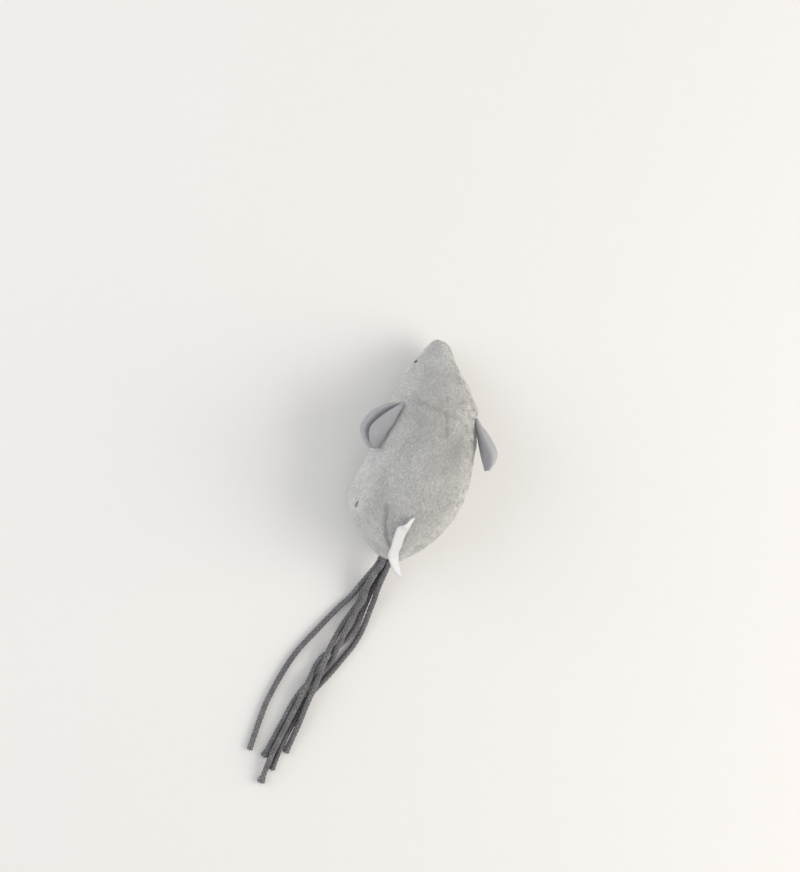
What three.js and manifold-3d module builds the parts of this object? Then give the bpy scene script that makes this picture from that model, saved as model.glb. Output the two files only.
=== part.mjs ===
// Catnip mouse: a stuffed plush toy with folded ears, a seam label and a tail of five cords.
// Millimetres. +Z is up, the nose points to -Y, the tail to +Y, and +X is the mouse's left side.
// The origin is on the floor, under the middle of the belly.
import * as THREE from 'three';
import { mergeVertices } from 'three/addons/utils/BufferGeometryUtils.js';
import Module from 'manifold-3d';

const wasm = await Module();
wasm.setup();

// Body
const BODY_LENGTH = 71.2;          // nose tip to the end of the rump, before the tail's flat is cut
const BODY_WIDTH = 34;             // across the haunches
const BODY_HEIGHT = 30;            // floor to the top of the back
const HAUNCH_FROM_TAIL = 23.2;     // widest and tallest station, ahead of the end of the rump
const NOSE_HEIGHT = 8.5;           // nose tip above the floor
const TAIL_HEIGHT = 5.8;           // end of the rump above the floor
const WIDEST_HEIGHT = 12.6;        // height of the widest line at the haunches
const CHIN_LENGTH = 18;            // the chin rises from the floor over this length
const RUMP_ROUND = 12;             // the rump's underside rises over this length
const NOSE_TURN = 3;               // the soft snout turns this far to the left
const NOSE_TURN_LENGTH = 16;
const RUMP_LEAN = 2.4;             // the stuffing bulges this far to the left at the rump
const RUMP_LEAN_FROM_TAIL = 14.2;
const RUMP_LEAN_LENGTH = 10;
const BELLY_FLAT = 0.5;            // the rounded belly is flattened this deep where it rests
const BELLY_CORNER = 0.77;         // superellipse power of the lower half of a section
const TAIL_Y = 31;                 // the flat end of the rump, behind the origin
const TAIL_CUT = 1.4;              // depth of that flat
const PLUSH = 1.6;                 // plush cloth with its pile
const TAIL_WALL = 4;               // seam allowances fill this length of the rump

// Seams
const GAP = 0.3;                   // between sewn pieces
const SEAM_HEIGHT = 3.6;           // belly seam above the floor
const SEAM_NOSE_RISE = 2.6;        // the belly seam climbs to the nose
const SEAM_TAIL_DROP = 1.6;        // and drops below the tail
const SEAM_BEND = 16;              // over this length at each end
const THREAD = 0.5;                // sewing thread
const THREAD_START = 7;            // its first stitch, behind the nose
const THREAD_STOP = 6;             // its last stitch, ahead of the rump's seam allowances
const STITCH_LENGTH = 2.8;         // dark stitch on the left flank
const STITCH_FROM_TAIL = 15.4;
const STITCH_ANGLE = 74;           // degrees from the back's middle line

// Catnip inside the stuffing
const CATNIP_LENGTH = 22;
const CATNIP_WIDTH = 13;
const CATNIP_HEIGHT = 9;
const CATNIP_Y = 4;
const CATNIP_Z = 15;

// Eyes
const EYE_LENGTH = 2;
const EYE_HEIGHT = 1.5;
const EYE_BULGE = 0.6;
const EYE_FROM_NOSE = 8;
const EYE_ANGLE = 97;              // degrees from the back's middle line

// Ears: leaves of suede cloth, folded lengthwise and pinched where they are sewn on
const EAR_LENGTH = 18.3;
const EAR_WIDTH = 13;              // of the flat leaf
const EAR_CLOTH = 1.2;
const EAR_ROOT_WIDTH = 3.6;         // of the flat leaf at its pinched root
const EAR_WIDEST = 0.72;           // share of the length where the leaf is widest
const LEFT_EAR_FROM_NOSE = 21.8;
const RIGHT_EAR_FROM_NOSE = 20.3;
const EAR_ANGLE = 65;              // degrees from the back's middle line
const LEFT_EAR_SPREAD = 38;        // degrees outwards from straight back
const RIGHT_EAR_SPREAD = 20;
const LEFT_EAR_RISE = 13;          // degrees upwards
const RIGHT_EAR_RISE = 22;
const LEFT_EAR_TILT = 8;           // the fold opens this many degrees inwards from straight up
const RIGHT_EAR_TILT = -25;
const EAR_PINCH = 14;              // half angle of the fold at the root, degrees
const EAR_OPEN = 61;               // half angle of the fold at the tip, degrees

// Label: a folded satin ribbon in the back seam, curling to the right past the tail
const LABEL_CLOTH = 0.6;
const LABEL_FROM_TAIL = 15.7;      // top of its sewn edge
const LABEL_SEWN = 11.6;           // length of the sewn edge along the body
const LABEL_OVERHANG = [-3.6, 7, -3.8];
const LABEL_REACH = [[5.4, 4.3, 4.6], [3.6, 5.4, -1.6], [4.2, 1.6, 1.8], [6.5, -5, 2]];

// Tail cords
const CORD = 1.8;                  // diameter
const CORD_SIDES = 8;
const CORD_STEPS = 17;
const CORD_FLAT_GAP = 0.4;         // from the rump's flat to the cords

const NOSE_Y = TAIL_Y + TAIL_CUT - BODY_LENGTH;
const RIM_Y = TAIL_Y + TAIL_CUT;

const FABRIC = { plush: '#b3b3ae', suede: '#96979b', satin: '#f1f0ee', cord: '#626265', thread: '#8d8d8c',
  dark: '#1d1c1c', fill: '#f3f2ee', catnip: '#7d8558' };

function cloth(color) {
  return new THREE.MeshStandardMaterial({ color, roughness: 0.95, metalness: 0 });
}

function radians(degrees) {
  return THREE.MathUtils.degToRad(degrees);
}

// How full the body is at a station: 0 at its ends and 1 at the haunches.
function fullness(along, haunch, length, [frontCurve, frontPower, rearCurve, rearPower]) {
  if (along <= haunch) return (1 - (1 - along / haunch) ** frontCurve) ** frontPower;
  return (1 - ((along - haunch) / (length - haunch)) ** rearCurve) ** rearPower;
}

const SIDE_CURVES = [2.2, 0.73, 2.1, 0.8];
const BACK_CURVES = [2, 0.85, 2.3, 0.75];

// The body's section at a distance behind the nose, drawn in by an inset, with a shorter rump if asked.
function station(along, inset = 0, tailInset = inset) {
  const length = BODY_LENGTH - inset - tailInset;
  const haunch = BODY_LENGTH - HAUNCH_FROM_TAIL - inset;
  const inner = THREE.MathUtils.clamp(along - inset, 0, length);
  const share = inner / length;
  const tip = THREE.MathUtils.lerp(NOSE_HEIGHT, TAIL_HEIGHT, share);
  const half = (BODY_WIDTH / 2 - inset) * fullness(inner, haunch, length, SIDE_CURVES);
  const top = tip + (BODY_HEIGHT - inset - tip) * fullness(inner, haunch, length, BACK_CURVES);
  const chin = Math.max(0, 1 - inner / CHIN_LENGTH);
  const rump = Math.max(0, 1 - (length - inner) / RUMP_ROUND);
  const round = 1 - Math.sqrt(1 - Math.max(chin, rump) ** 2);
  const floor = inset > 0 ? inset : -BELLY_FLAT;
  const low = floor + (tip - floor) * round;
  const wide = low + (top - low) * (WIDEST_HEIGHT + BELLY_FLAT) / (BODY_HEIGHT + BELLY_FLAT);
  return { half, top, low, wide };
}

// The stuffed body isn't straight: its snout turns and its rump leans to the left.
function lean(y) {
  const turn = Math.max(0, 1 - (y - NOSE_Y) / NOSE_TURN_LENGTH);
  const bulge = (y - RIM_Y + RUMP_LEAN_FROM_TAIL) / RUMP_LEAN_LENGTH;
  return NOSE_TURN * turn * turn + RUMP_LEAN * Math.exp(-bulge * bulge);
}

// A point of a section at an angle from the back's middle line, positive to the left.
function sectionPoint(along, angle, inset, tailInset) {
  const { half, top, low, wide } = station(along, inset, tailInset);
  const across = Math.sin(angle);
  const up = Math.cos(angle);
  if (up >= 0) return new THREE.Vector3(half * across, NOSE_Y + along, wide + (top - wide) * up);
  const x = half * Math.sign(across) * Math.abs(across) ** BELLY_CORNER;
  return new THREE.Vector3(x, NOSE_Y + along, wide - (wide - low) * Math.abs(up) ** BELLY_CORNER);
}

// The half width of a section at a height below its widest line.
function halfWidthAt(along, z, inset, tailInset) {
  const { half, low, wide } = station(along, inset, tailInset);
  const down = THREE.MathUtils.clamp((wide - z) / (wide - low), 0, 1) ** (1 / BELLY_CORNER);
  return half * (1 - down * down) ** (BELLY_CORNER / 2);
}

// A point of the outside with the direction out of it, on the leaning body.
function skin(along, angle) {
  const step = 0.05;
  const here = sectionPoint(along, angle);
  const onward = sectionPoint(along + step, angle).sub(here);
  const around = sectionPoint(along, angle + step).sub(here);
  const out = around.cross(onward).normalize();
  return { point: here.setX(here.x + lean(here.y)), out };
}

function solidFrom(positions, triangles) {
  const geometry = new THREE.BufferGeometry();
  geometry.setAttribute('position', new THREE.Float32BufferAttribute(positions, 3));
  geometry.setIndex(triangles);
  geometry.computeVertexNormals();
  return geometry;
}

// The rounded body: rings of sections between a pole at the nose and one at the rump.
function bodyForm(inset, tailInset, rings, sides) {
  const first = inset;
  const length = BODY_LENGTH - inset - tailInset;
  const positions = [];
  const triangles = [];
  for (let i = 1; i < rings; i++) {
    const along = first + length * (1 - Math.cos(Math.PI * i / rings)) / 2;
    for (let j = 0; j < sides; j++) {
      positions.push(...sectionPoint(along, 2 * Math.PI * (j + 0.5) / sides, inset, tailInset));
    }
  }
  const nose = positions.length / 3;
  positions.push(...sectionPoint(first, 0, inset, tailInset));
  positions.push(...sectionPoint(first + length, 0, inset, tailInset));
  for (let j = 0; j < sides; j++) {
    const next = (j + 1) % sides;
    triangles.push(nose, next, j);
    for (let i = 0; i < rings - 2; i++) {
      const a = i * sides + j;
      const b = i * sides + next;
      triangles.push(a, b, a + sides, b, b + sides, a + sides);
    }
    const last = (rings - 2) * sides;
    triangles.push(nose + 1, last + j, last + next);
  }
  return solidFrom(positions, triangles);
}

// Joining and cutting
function solid(geometry) {
  const bare = geometry.clone();
  bare.deleteAttribute('normal');
  bare.deleteAttribute('uv');
  const merged = mergeVertices(bare);
  const vertProperties = Float32Array.from(merged.attributes.position.array);
  const triVerts = Uint32Array.from(merged.index.array);
  return new wasm.Manifold(new wasm.Mesh({ numProp: 3, vertProperties, triVerts }));
}

function geometryOf(manifold) {
  const mesh = manifold.getMesh();
  return solidFrom(Array.from(mesh.vertProperties), Array.from(mesh.triVerts));
}

// Every piece of the body leans with it.
function leaning(geometry) {
  const place = geometry.attributes.position;
  for (let i = 0; i < place.count; i++) place.setX(i, place.getX(i) + lean(place.getY(i)));
  geometry.computeVertexNormals();
  return geometry;
}

// The belly seam's height along the body
function seamHeight(y) {
  const toNose = Math.max(0, 1 - (y - NOSE_Y) / SEAM_BEND);
  const toTail = Math.max(0, 1 - (RIM_Y - y) / SEAM_BEND);
  return SEAM_HEIGHT + SEAM_NOSE_RISE * toNose * toNose - SEAM_TAIL_DROP * toTail * toTail;
}

// A block between two widths, on one side of the belly seam. Its profile is drawn in Y and Z.
function seamBlock(left, right, limit, side) {
  const margin = 5;
  const steps = 30;
  const start = NOSE_Y - margin;
  const end = TAIL_Y;
  const profile = new THREE.Shape();
  profile.moveTo(start, limit);
  profile.lineTo(end, limit);
  for (let i = steps; i >= 0; i--) {
    const y = start + (end - start) * i / steps;
    profile.lineTo(y, seamHeight(y) + side * GAP / 2);
  }
  profile.closePath();
  const block = new THREE.ExtrudeGeometry(profile, { depth: right - left, bevelEnabled: false });
  const turn = new THREE.Matrix4().set(0, 0, 1, left, 1, 0, 0, 0, 0, 1, 0, 0, 0, 0, 0, 1);
  return solid(block.applyMatrix4(turn));
}

// A round tube along a curve
function tube(curve, diameter, sides, steps) {
  const section = new THREE.Shape();
  for (let i = 0; i < sides; i++) {
    const angle = 2 * Math.PI * (i + 0.5) / sides;
    const x = diameter / 2 * Math.cos(angle);
    const y = diameter / 2 * Math.sin(angle);
    if (i === 0) section.moveTo(x, y);
    else section.lineTo(x, y);
  }
  section.closePath();
  return new THREE.ExtrudeGeometry(section, { steps, extrudePath: curve, bevelEnabled: false });
}

// A sheet of cloth: a grid of points, thickened both ways along its own normals
function sheet(rows, thickness) {
  const tall = rows.length;
  const wide = rows[0].length;
  const top = [];
  const bottom = [];
  for (let i = 0; i < tall; i++) {
    for (let j = 0; j < wide; j++) {
      const onward = rows[Math.min(i + 1, tall - 1)][j].clone().sub(rows[Math.max(i - 1, 0)][j]);
      const across = rows[i][Math.min(j + 1, wide - 1)].clone().sub(rows[i][Math.max(j - 1, 0)]);
      const normal = onward.cross(across).normalize().multiplyScalar(thickness / 2);
      top.push(...rows[i][j].clone().add(normal));
      bottom.push(...rows[i][j].clone().sub(normal));
    }
  }
  const count = tall * wide;
  const triangles = [];
  const quad = (a, b, c, d) => triangles.push(a, b, c, a, c, d);
  for (let i = 0; i < tall - 1; i++) {
    for (let j = 0; j < wide - 1; j++) {
      const a = i * wide + j;
      quad(a, a + wide, a + wide + 1, a + 1);
      quad(count + a, count + a + 1, count + a + wide + 1, count + a + wide);
    }
    const left = i * wide;
    const right = left + wide - 1;
    quad(left, count + left, count + left + wide, left + wide);
    quad(right, right + wide, count + right + wide, count + right);
  }
  for (let j = 0; j < wide - 1; j++) {
    const end = (tall - 1) * wide + j;
    quad(j, j + 1, count + j + 1, count + j);
    quad(end, count + end, count + end + 1, end + 1);
  }
  return solidFrom([...top, ...bottom], triangles);
}

// Plush panels: the shell is cut along the back seam and the belly seam, and flat at the belly and tail.
const SHELL_RINGS = 30;
const SHELL_SIDES = 30;
const far = BODY_WIDTH + BODY_HEIGHT;
const shell = solid(bodyForm(0, 0, SHELL_RINGS, SHELL_SIDES))
  .subtract(solid(bodyForm(PLUSH, TAIL_WALL, SHELL_RINGS, SHELL_SIDES)));

// Small things set in the plush: a squashed ball, lying along the skin, and the socket that it sits in
function bead(along, angle, size, slack) {
  const { point, out } = skin(along, angle);
  const back = new THREE.Vector3(0, 1, 0).addScaledVector(out, -out.y).normalize();
  const down = new THREE.Vector3().crossVectors(out, back);
  const [length, height, bulge] = size.map(value => value + 2 * slack);
  const ball = new THREE.SphereGeometry(0.5, 14, 8).scale(length, height, bulge);
  const turn = new THREE.Matrix4().makeBasis(back, down, out).setPosition(point);
  return ball.applyMatrix4(turn);
}

const EYE_SIZE = [EYE_LENGTH, EYE_HEIGHT, 2 * EYE_BULGE];
const STITCH_SIZE = [STITCH_LENGTH, THREAD, THREAD];
const stitchAlong = BODY_LENGTH - STITCH_FROM_TAIL;

function sidePanel(side) {
  const inside = GAP / 2;
  const [left, right] = side > 0 ? [inside, far] : [-far, -inside];
  const panel = solid(leaning(geometryOf(shell.intersect(seamBlock(left, right, far, 1)))));
  return panel.subtract(solid(bead(EYE_FROM_NOSE, side * radians(EYE_ANGLE), EYE_SIZE, GAP)));
}

const stitchSocket = solid(bead(stitchAlong, radians(STITCH_ANGLE), STITCH_SIZE, GAP));
const leftPanel = geometryOf(sidePanel(1).subtract(stitchSocket));
const rightPanel = geometryOf(sidePanel(-1));
const bellyPanel = leaning(geometryOf(shell.intersect(seamBlock(-far, far, 0, -1))));

// Seam threads run just inside the plush, in grooves that they press into the stuffing.
const THREAD_SIDES = 6;
const THREAD_STEPS = 22;
const threadInset = PLUSH + 2 * GAP + THREAD / 2;
const threadEnd = BODY_LENGTH - TAIL_WALL - THREAD_STOP;

function threadPath(placeAt, slack) {
  const points = [];
  for (let i = 0; i <= THREAD_STEPS; i++) {
    const along = THREE.MathUtils.lerp(THREAD_START - slack, threadEnd + slack, i / THREAD_STEPS);
    points.push(placeAt(along));
  }
  return new THREE.CatmullRomCurve3(points);
}

function bellyThreadPoint(along, side) {
  const z = Math.max(seamHeight(NOSE_Y + along), station(along, threadInset, TAIL_WALL).low + THREAD);
  const half = halfWidthAt(along, z, threadInset, TAIL_WALL);
  return new THREE.Vector3(side * half, NOSE_Y + along, z);
}

const THREAD_PLACES = {
  back_seam_thread: along => sectionPoint(along, 0, threadInset, TAIL_WALL),
  left_belly_seam_thread: along => bellyThreadPoint(along, 1),
  right_belly_seam_thread: along => bellyThreadPoint(along, -1),
};

function seamThread(placeAt, slack) {
  return tube(threadPath(placeAt, slack), THREAD + 2 * slack, THREAD_SIDES, THREAD_STEPS);
}

// Stuffing with a pocket for the catnip, open below where it was filled
const STUFFING_RINGS = 20;
const STUFFING_SIDES = 22;

function catnipBall(slack) {
  const ball = new THREE.SphereGeometry(0.5, 16, 10);
  ball.scale(CATNIP_WIDTH + 2 * slack, CATNIP_LENGTH + 2 * slack, CATNIP_HEIGHT + 2 * slack);
  return ball.translate(0, CATNIP_Y, CATNIP_Z);
}

const fillHole = new THREE.CylinderGeometry(CATNIP_WIDTH / 3, CATNIP_WIDTH / 3, CATNIP_Z, 16)
  .rotateX(Math.PI / 2).translate(0, CATNIP_Y, CATNIP_Z / 2);
let stuffing = solid(bodyForm(PLUSH + GAP, TAIL_WALL + GAP, STUFFING_RINGS, STUFFING_SIDES))
  .subtract(solid(catnipBall(GAP)))
  .subtract(solid(fillHole));
for (const placeAt of Object.values(THREAD_PLACES)) {
  stuffing = stuffing.subtract(solid(seamThread(placeAt, GAP)));
}

// One ear, in its own frame: X along the fold, Y across it and Z the way that the fold opens
const EAR_ROWS = 10;
const EAR_COLUMNS = 8;

function earLeaf() {
  const rows = [];
  const root = EAR_ROOT_WIDTH / 2;
  const widest = EAR_WIDTH / 2;
  for (let i = 0; i <= EAR_ROWS; i++) {
    const share = i / EAR_ROWS;
    const swell = Math.sin(Math.PI / 2 * Math.min(1, share / EAR_WIDEST));
    const tip = Math.max(0, (share - EAR_WIDEST) / (1 - EAR_WIDEST));
    const half = (root + (widest - root) * swell) * Math.sqrt(1 - 0.9 * tip * tip);
    const fold = radians(THREE.MathUtils.lerp(EAR_PINCH, EAR_OPEN, Math.sqrt(share)));
    const row = [];
    for (let j = 0; j <= EAR_COLUMNS; j++) {
      const across = half * (2 * j / EAR_COLUMNS - 1);
      const rise = Math.sqrt((across * Math.cos(fold)) ** 2 + EAR_CLOTH ** 2) - EAR_CLOTH;
      row.push(new THREE.Vector3(share * EAR_LENGTH, across * Math.sin(fold), rise));
    }
    rows.push(row);
  }
  return sheet(rows, EAR_CLOTH);
}

const earStandOff = EAR_CLOTH / 2 + GAP;

function earFrame(side) {
  const fromNose = side > 0 ? LEFT_EAR_FROM_NOSE : RIGHT_EAR_FROM_NOSE;
  const { point, out } = skin(fromNose, side * radians(EAR_ANGLE));
  const spread = radians(side > 0 ? LEFT_EAR_SPREAD : RIGHT_EAR_SPREAD);
  const rise = radians(side > 0 ? LEFT_EAR_RISE : RIGHT_EAR_RISE);
  const tilt = radians(side > 0 ? LEFT_EAR_TILT : RIGHT_EAR_TILT);
  const along = new THREE.Vector3(side * Math.sin(spread), Math.cos(spread), Math.tan(rise)).normalize();
  const open = new THREE.Vector3(-side * Math.sin(tilt), 0, Math.cos(tilt));
  open.addScaledVector(along, -open.dot(along)).normalize();
  const across = new THREE.Vector3().crossVectors(open, along);
  const root = point.addScaledVector(out, earStandOff);
  return new THREE.Matrix4().makeBasis(along, across, open).setPosition(root);
}

// Label: its sewn edge follows the back seam, and its free edge stands off to the left.
const LABEL_STEPS = 10;
const LABEL_COLUMNS = 3;

function labelSheet() {
  const start = BODY_LENGTH - LABEL_FROM_TAIL;
  const clear = LABEL_CLOTH / 2 + 2 * GAP;
  const sewn = [0, 0.45, 1].map(share => {
    const { point, out } = skin(start + LABEL_SEWN * share, 0);
    return point.addScaledVector(out, clear);
  });
  sewn.push(sewn[2].clone().add(new THREE.Vector3(...LABEL_OVERHANG)));
  const free = sewn.map((point, i) => point.clone().add(new THREE.Vector3(...LABEL_REACH[i])));
  const inner = new THREE.CatmullRomCurve3(sewn);
  const outer = new THREE.CatmullRomCurve3(free);
  const rows = [];
  for (let i = 0; i <= LABEL_STEPS; i++) {
    const from = inner.getPoint(i / LABEL_STEPS);
    const to = outer.getPoint(i / LABEL_STEPS);
    const row = [];
    for (let j = 0; j <= LABEL_COLUMNS; j++) row.push(from.clone().lerp(to, j / LABEL_COLUMNS));
    rows.push(row);
  }
  return sheet(rows, LABEL_CLOTH);
}

// Tail cords: how far left, back and up each point lies from the middle of the rump's flat, on the floor.
// One cord lies loose to the left, and the other four twist round each other.
const CORD_ROUTES = {
  loose_tail_cord: [
    [1.2, 0, 3.9], [1.3, 1.2, 3.8], [1.7, 2.9, 3.4], [2.8, 5.9, 2.3], [4.2, 9.6, 1.35], [6.1, 13.9, 1],
    [8.9, 18.2, 0.95], [14.4, 27.6, 0.95], [18.5, 35.2, 0.95], [21.1, 42.4, 0.95], [23.6, 52.7, 0.95],
    [24.3, 59.4, 0.95], [24.9, 68.7, 0.95],
  ],
  tail_cord_1: [
    [0.3, 0, 6.05], [0.5, 1.2, 6], [1.2, 2.7, 5.6], [2, 4.7, 5], [2.7, 8.1, 3.8], [3.1, 11.6, 2.3],
    [3.2, 14.9, 1.4], [4.4, 18.5, 1], [6.5, 23.9, 1.1], [8.3, 28.5, 2.6], [9.2, 31.9, 3.2], [9.7, 37.2, 3.2],
    [10.2, 42.8, 3.2], [10.7, 45.8, 3.2], [11.2, 48.8, 3.1], [11.6, 52.2, 2.9], [11.9, 55.9, 2.6],
    [12.3, 59.4, 2.1], [13.2, 66.8, 0.95],
  ],
  tail_cord_2: [
    [1.5, 0, 8.1], [1.5, 1.2, 8.05], [1.7, 2.8, 7.7], [2.5, 4.8, 7.1], [3.2, 8, 5.95], [3.1, 11.4, 4.5],
    [2.9, 14.7, 3.6], [4, 18.2, 3.1], [5.3, 23.3, 3], [6.5, 29.8, 3.3], [6.9, 31.9, 3.15], [7, 33.7, 2.5],
    [7.1, 35.4, 1.65], [8.4, 38.7, 0.95], [10.9, 42.9, 0.95], [13.4, 46.2, 0.95], [15.1, 50.6, 0.95],
    [16.8, 57.5, 0.95], [19.7, 69.6, 0.95],
  ],
  tail_cord_3: [
    [-1.7, 0, 5.9], [-1.5, 1.2, 5.85], [-0.5, 3.9, 5], [0.2, 7.3, 3.6], [0.6, 10.8, 2.1], [0.8, 14.1, 1.2],
    [1.2, 17.5, 0.95], [2.4, 24.4, 0.95], [5.4, 29.8, 0.95], [9.9, 34.8, 0.95], [11.2, 37.4, 1.2],
    [12, 40.1, 1.8], [12.8, 43, 2.9], [13.5, 45.4, 3.15], [14.1, 50, 2.85], [15.6, 57, 2.7], [17.1, 63.9, 2.7],
    [18, 69, 2.5], [18.5, 77.7, 0.95],
  ],
  tail_cord_4: [
    [-0.7, 0, 8.1], [-0.6, 1.2, 8.05], [-0.4, 3.7, 7.45], [-0.3, 7.1, 6], [-0.4, 10.5, 4.45], [-0.7, 13.7, 3.15],
    [-0.5, 17.1, 2.5], [-0.3, 23.1, 1.25], [1.1, 28.7, 0.95], [3.6, 34.2, 0.95], [6.6, 40.3, 0.95],
    [9.7, 45.8, 0.95], [11.7, 50.6, 0.95], [13.3, 56.9, 0.95], [15, 63.4, 0.95], [16.1, 73.1, 0.95],
  ],
};

function cordCurve(route) {
  const start = TAIL_Y + CORD_FLAT_GAP;
  const points = route.map(([left, back, up]) => new THREE.Vector3(left, start + back, up));
  return new THREE.CatmullRomCurve3(points);
}

const mouse = new THREE.Group();

function add(name, geometry, color) {
  const mesh = new THREE.Mesh(geometry, cloth(color));
  mesh.name = name;
  mouse.add(mesh);
  return mesh;
}

add('left_side_panel', leftPanel, FABRIC.plush);
add('right_side_panel', rightPanel, FABRIC.plush);
add('belly_panel', bellyPanel, FABRIC.plush);
add('stuffing', leaning(geometryOf(stuffing)), FABRIC.fill);
add('catnip', leaning(catnipBall(0)), FABRIC.catnip);
for (const [name, placeAt] of Object.entries(THREAD_PLACES)) {
  add(name, leaning(seamThread(placeAt, 0)), FABRIC.thread);
}
add('flank_stitch', bead(stitchAlong, radians(STITCH_ANGLE), STITCH_SIZE, 0), FABRIC.dark);
for (const [name, side] of [['left', 1], ['right', -1]]) {
  add(`${name}_eye`, bead(EYE_FROM_NOSE, side * radians(EYE_ANGLE), EYE_SIZE, 0), FABRIC.dark);
  const ear = add(`${name}_ear`, earLeaf(), FABRIC.suede);
  earFrame(side).decompose(ear.position, ear.quaternion, ear.scale);
}
add('seam_label', labelSheet(), FABRIC.satin);
for (const [name, route] of Object.entries(CORD_ROUTES)) {
  add(name, tube(cordCurve(route), CORD, CORD_SIDES, CORD_STEPS), FABRIC.cord);
}

export default mouse;
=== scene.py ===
"""Catnip mouse: a stuffed plush toy with folded suede ears, a blank satin label and a tail of five cords.

Surfaces are worked out in millimetres, in the part's own frame: +Z up, nose at -Y, the mouse's left at +X.
"""
import itertools
import math

import bmesh
import bpy
import numpy as np
from mathutils import Matrix, Vector


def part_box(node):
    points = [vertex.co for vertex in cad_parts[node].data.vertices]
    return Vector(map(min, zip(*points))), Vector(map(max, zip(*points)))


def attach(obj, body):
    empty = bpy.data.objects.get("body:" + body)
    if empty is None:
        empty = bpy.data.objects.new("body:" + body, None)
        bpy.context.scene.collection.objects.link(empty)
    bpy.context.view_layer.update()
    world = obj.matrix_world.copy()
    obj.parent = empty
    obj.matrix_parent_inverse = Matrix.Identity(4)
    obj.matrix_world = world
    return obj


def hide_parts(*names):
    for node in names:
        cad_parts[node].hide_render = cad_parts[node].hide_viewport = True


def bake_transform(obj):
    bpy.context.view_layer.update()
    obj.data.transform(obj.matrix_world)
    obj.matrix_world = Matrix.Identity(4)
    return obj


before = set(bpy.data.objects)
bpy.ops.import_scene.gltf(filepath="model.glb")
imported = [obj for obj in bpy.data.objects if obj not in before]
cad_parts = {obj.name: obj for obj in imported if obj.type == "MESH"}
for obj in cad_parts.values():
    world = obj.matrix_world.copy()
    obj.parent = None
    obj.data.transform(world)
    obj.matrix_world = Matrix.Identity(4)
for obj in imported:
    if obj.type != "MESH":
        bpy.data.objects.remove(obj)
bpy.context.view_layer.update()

bl_info = {
    "name": "Catnip Mouse",
    "version": (1, 0, 0),
    "blender": (4, 5, 0),
    "location": "View3D > Sidebar > Catnip Mouse",
    "description": "Builds a stuffed plush mouse with suede ears, a satin label and a corded tail",
    "category": "Object",
}

MM = 0.001
BODY = "mouse"
UP = np.array([0.0, 0.0, 1.0])
TO_TAIL = np.array([0.0, 1.0, 0.0])


def linear(code):
    """An sRGB hex colour as linear red, green, blue and an alpha of 1."""
    values = np.array([int(code[i:i + 2], 16) for i in (1, 3, 5)]) / 255
    flat = np.where(values <= 0.04045, values / 12.92, ((values + 0.055) / 1.055) ** 2.4)
    return (*flat.tolist(), 1.0)


# Sizes and colours that a user may change

def size_setting(name, description, default, low):
    """A length with its least value."""
    return bpy.props.FloatProperty(name=name, description=description + ", in mm", default=default, min=low)


def angle_setting(name, description, degrees):
    """An angle."""
    return bpy.props.FloatProperty(
        name=name, description=description, subtype="ANGLE", default=math.radians(degrees))


def colour_setting(name, description, code):
    """A colour."""
    return bpy.props.FloatVectorProperty(
        name=name, description=description, subtype="COLOR", size=4, default=linear(code))


class MouseBody(bpy.types.PropertyGroup):
    """The stuffed body and its plush"""
    length: size_setting("Length", "Nose tip to the end of the rump", 71.2, 40)
    width: size_setting("Width", "Across the haunches", 34.0, 20)
    height: size_setting("Height", "Floor to the top of the back", 30.0, 15)
    pile: size_setting("Pile", "Length of the plush fibres", 1.1, 0.3)
    plush: colour_setting("Plush", "Colour of the plush", "#b3b3b0")


class MouseTrim(bpy.types.PropertyGroup):
    """Ears, label and embroidery"""
    ear_length: size_setting("Ear length", "Root to tip", 18.3, 8)
    ear_cloth: size_setting("Ear cloth", "Thickness of the suede cloth", 1.15, 0.4)
    suede: colour_setting("Suede", "Colour of the ears", "#a9a9ad")
    satin: colour_setting("Satin", "Colour of the label", "#dadbde")
    dark: colour_setting("Embroidery", "Colour of the eyes", "#1b1a1b")


class MouseTail(bpy.types.PropertyGroup):
    """The tail's cords"""
    diameter: size_setting("Cord", "Diameter of a cord", 1.8, 0.6)
    cord: colour_setting("Cord colour", "Colour of the cords", "#616062")


class MouseStage(bpy.types.PropertyGroup):
    """Floor, light and camera"""
    floor: colour_setting("Floor", "Colour of the floor", "#eeedeb")
    elevation: angle_setting("Elevation", "Camera height over the mouse's left side", 72)
    roll: angle_setting("Roll", "How far the nose turns to the right in the picture", 15.5)


class MouseSettings(bpy.types.PropertyGroup):
    """Everything that a user may change"""
    body: bpy.props.PointerProperty(type=MouseBody)
    trim: bpy.props.PointerProperty(type=MouseTrim)
    tail: bpy.props.PointerProperty(type=MouseTail)
    stage: bpy.props.PointerProperty(type=MouseStage)


def sizes():
    """The settings of this scene."""
    return bpy.context.scene.catnip_mouse


# Shared helpers

LATTICE = 32


def ease(share):
    """A share from 0 to 1 made level at both ends."""
    return share * share * (3 - 2 * share)


def smooth(edge0, edge1, value):
    """0 before the first edge, 1 after the second, eased between them."""
    return ease(np.clip((value - edge0) / (edge1 - edge0), 0, 1))


def bell(value, width):
    """A bump of height 1 at 0 that falls as exp(-(value / width)^2)."""
    return np.exp(-(value / width) ** 2)


def noise(points, size, seed):
    """Smooth noise from -1 to 1: random heights on a lattice of that size, eased between its corners."""
    table = np.random.default_rng(seed).uniform(-1, 1, (LATTICE, LATTICE, LATTICE))
    cell = np.floor(points / size).astype(int)
    share = ease(points / size - cell)
    total = np.zeros(points.shape[:-1])
    for corner in itertools.product((0, 1), repeat=3):
        weight = np.where(np.array(corner) == 1, share, 1 - share).prod(-1)
        i, j, k = np.moveaxis((cell + np.array(corner)) % LATTICE, -1, 0)
        total += weight * table[i, j, k]
    return total


def unit(vectors):
    """Vectors of length 1 in the same directions."""
    return vectors / np.maximum(np.linalg.norm(vectors, axis=-1, keepdims=True), 1e-12)


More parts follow.
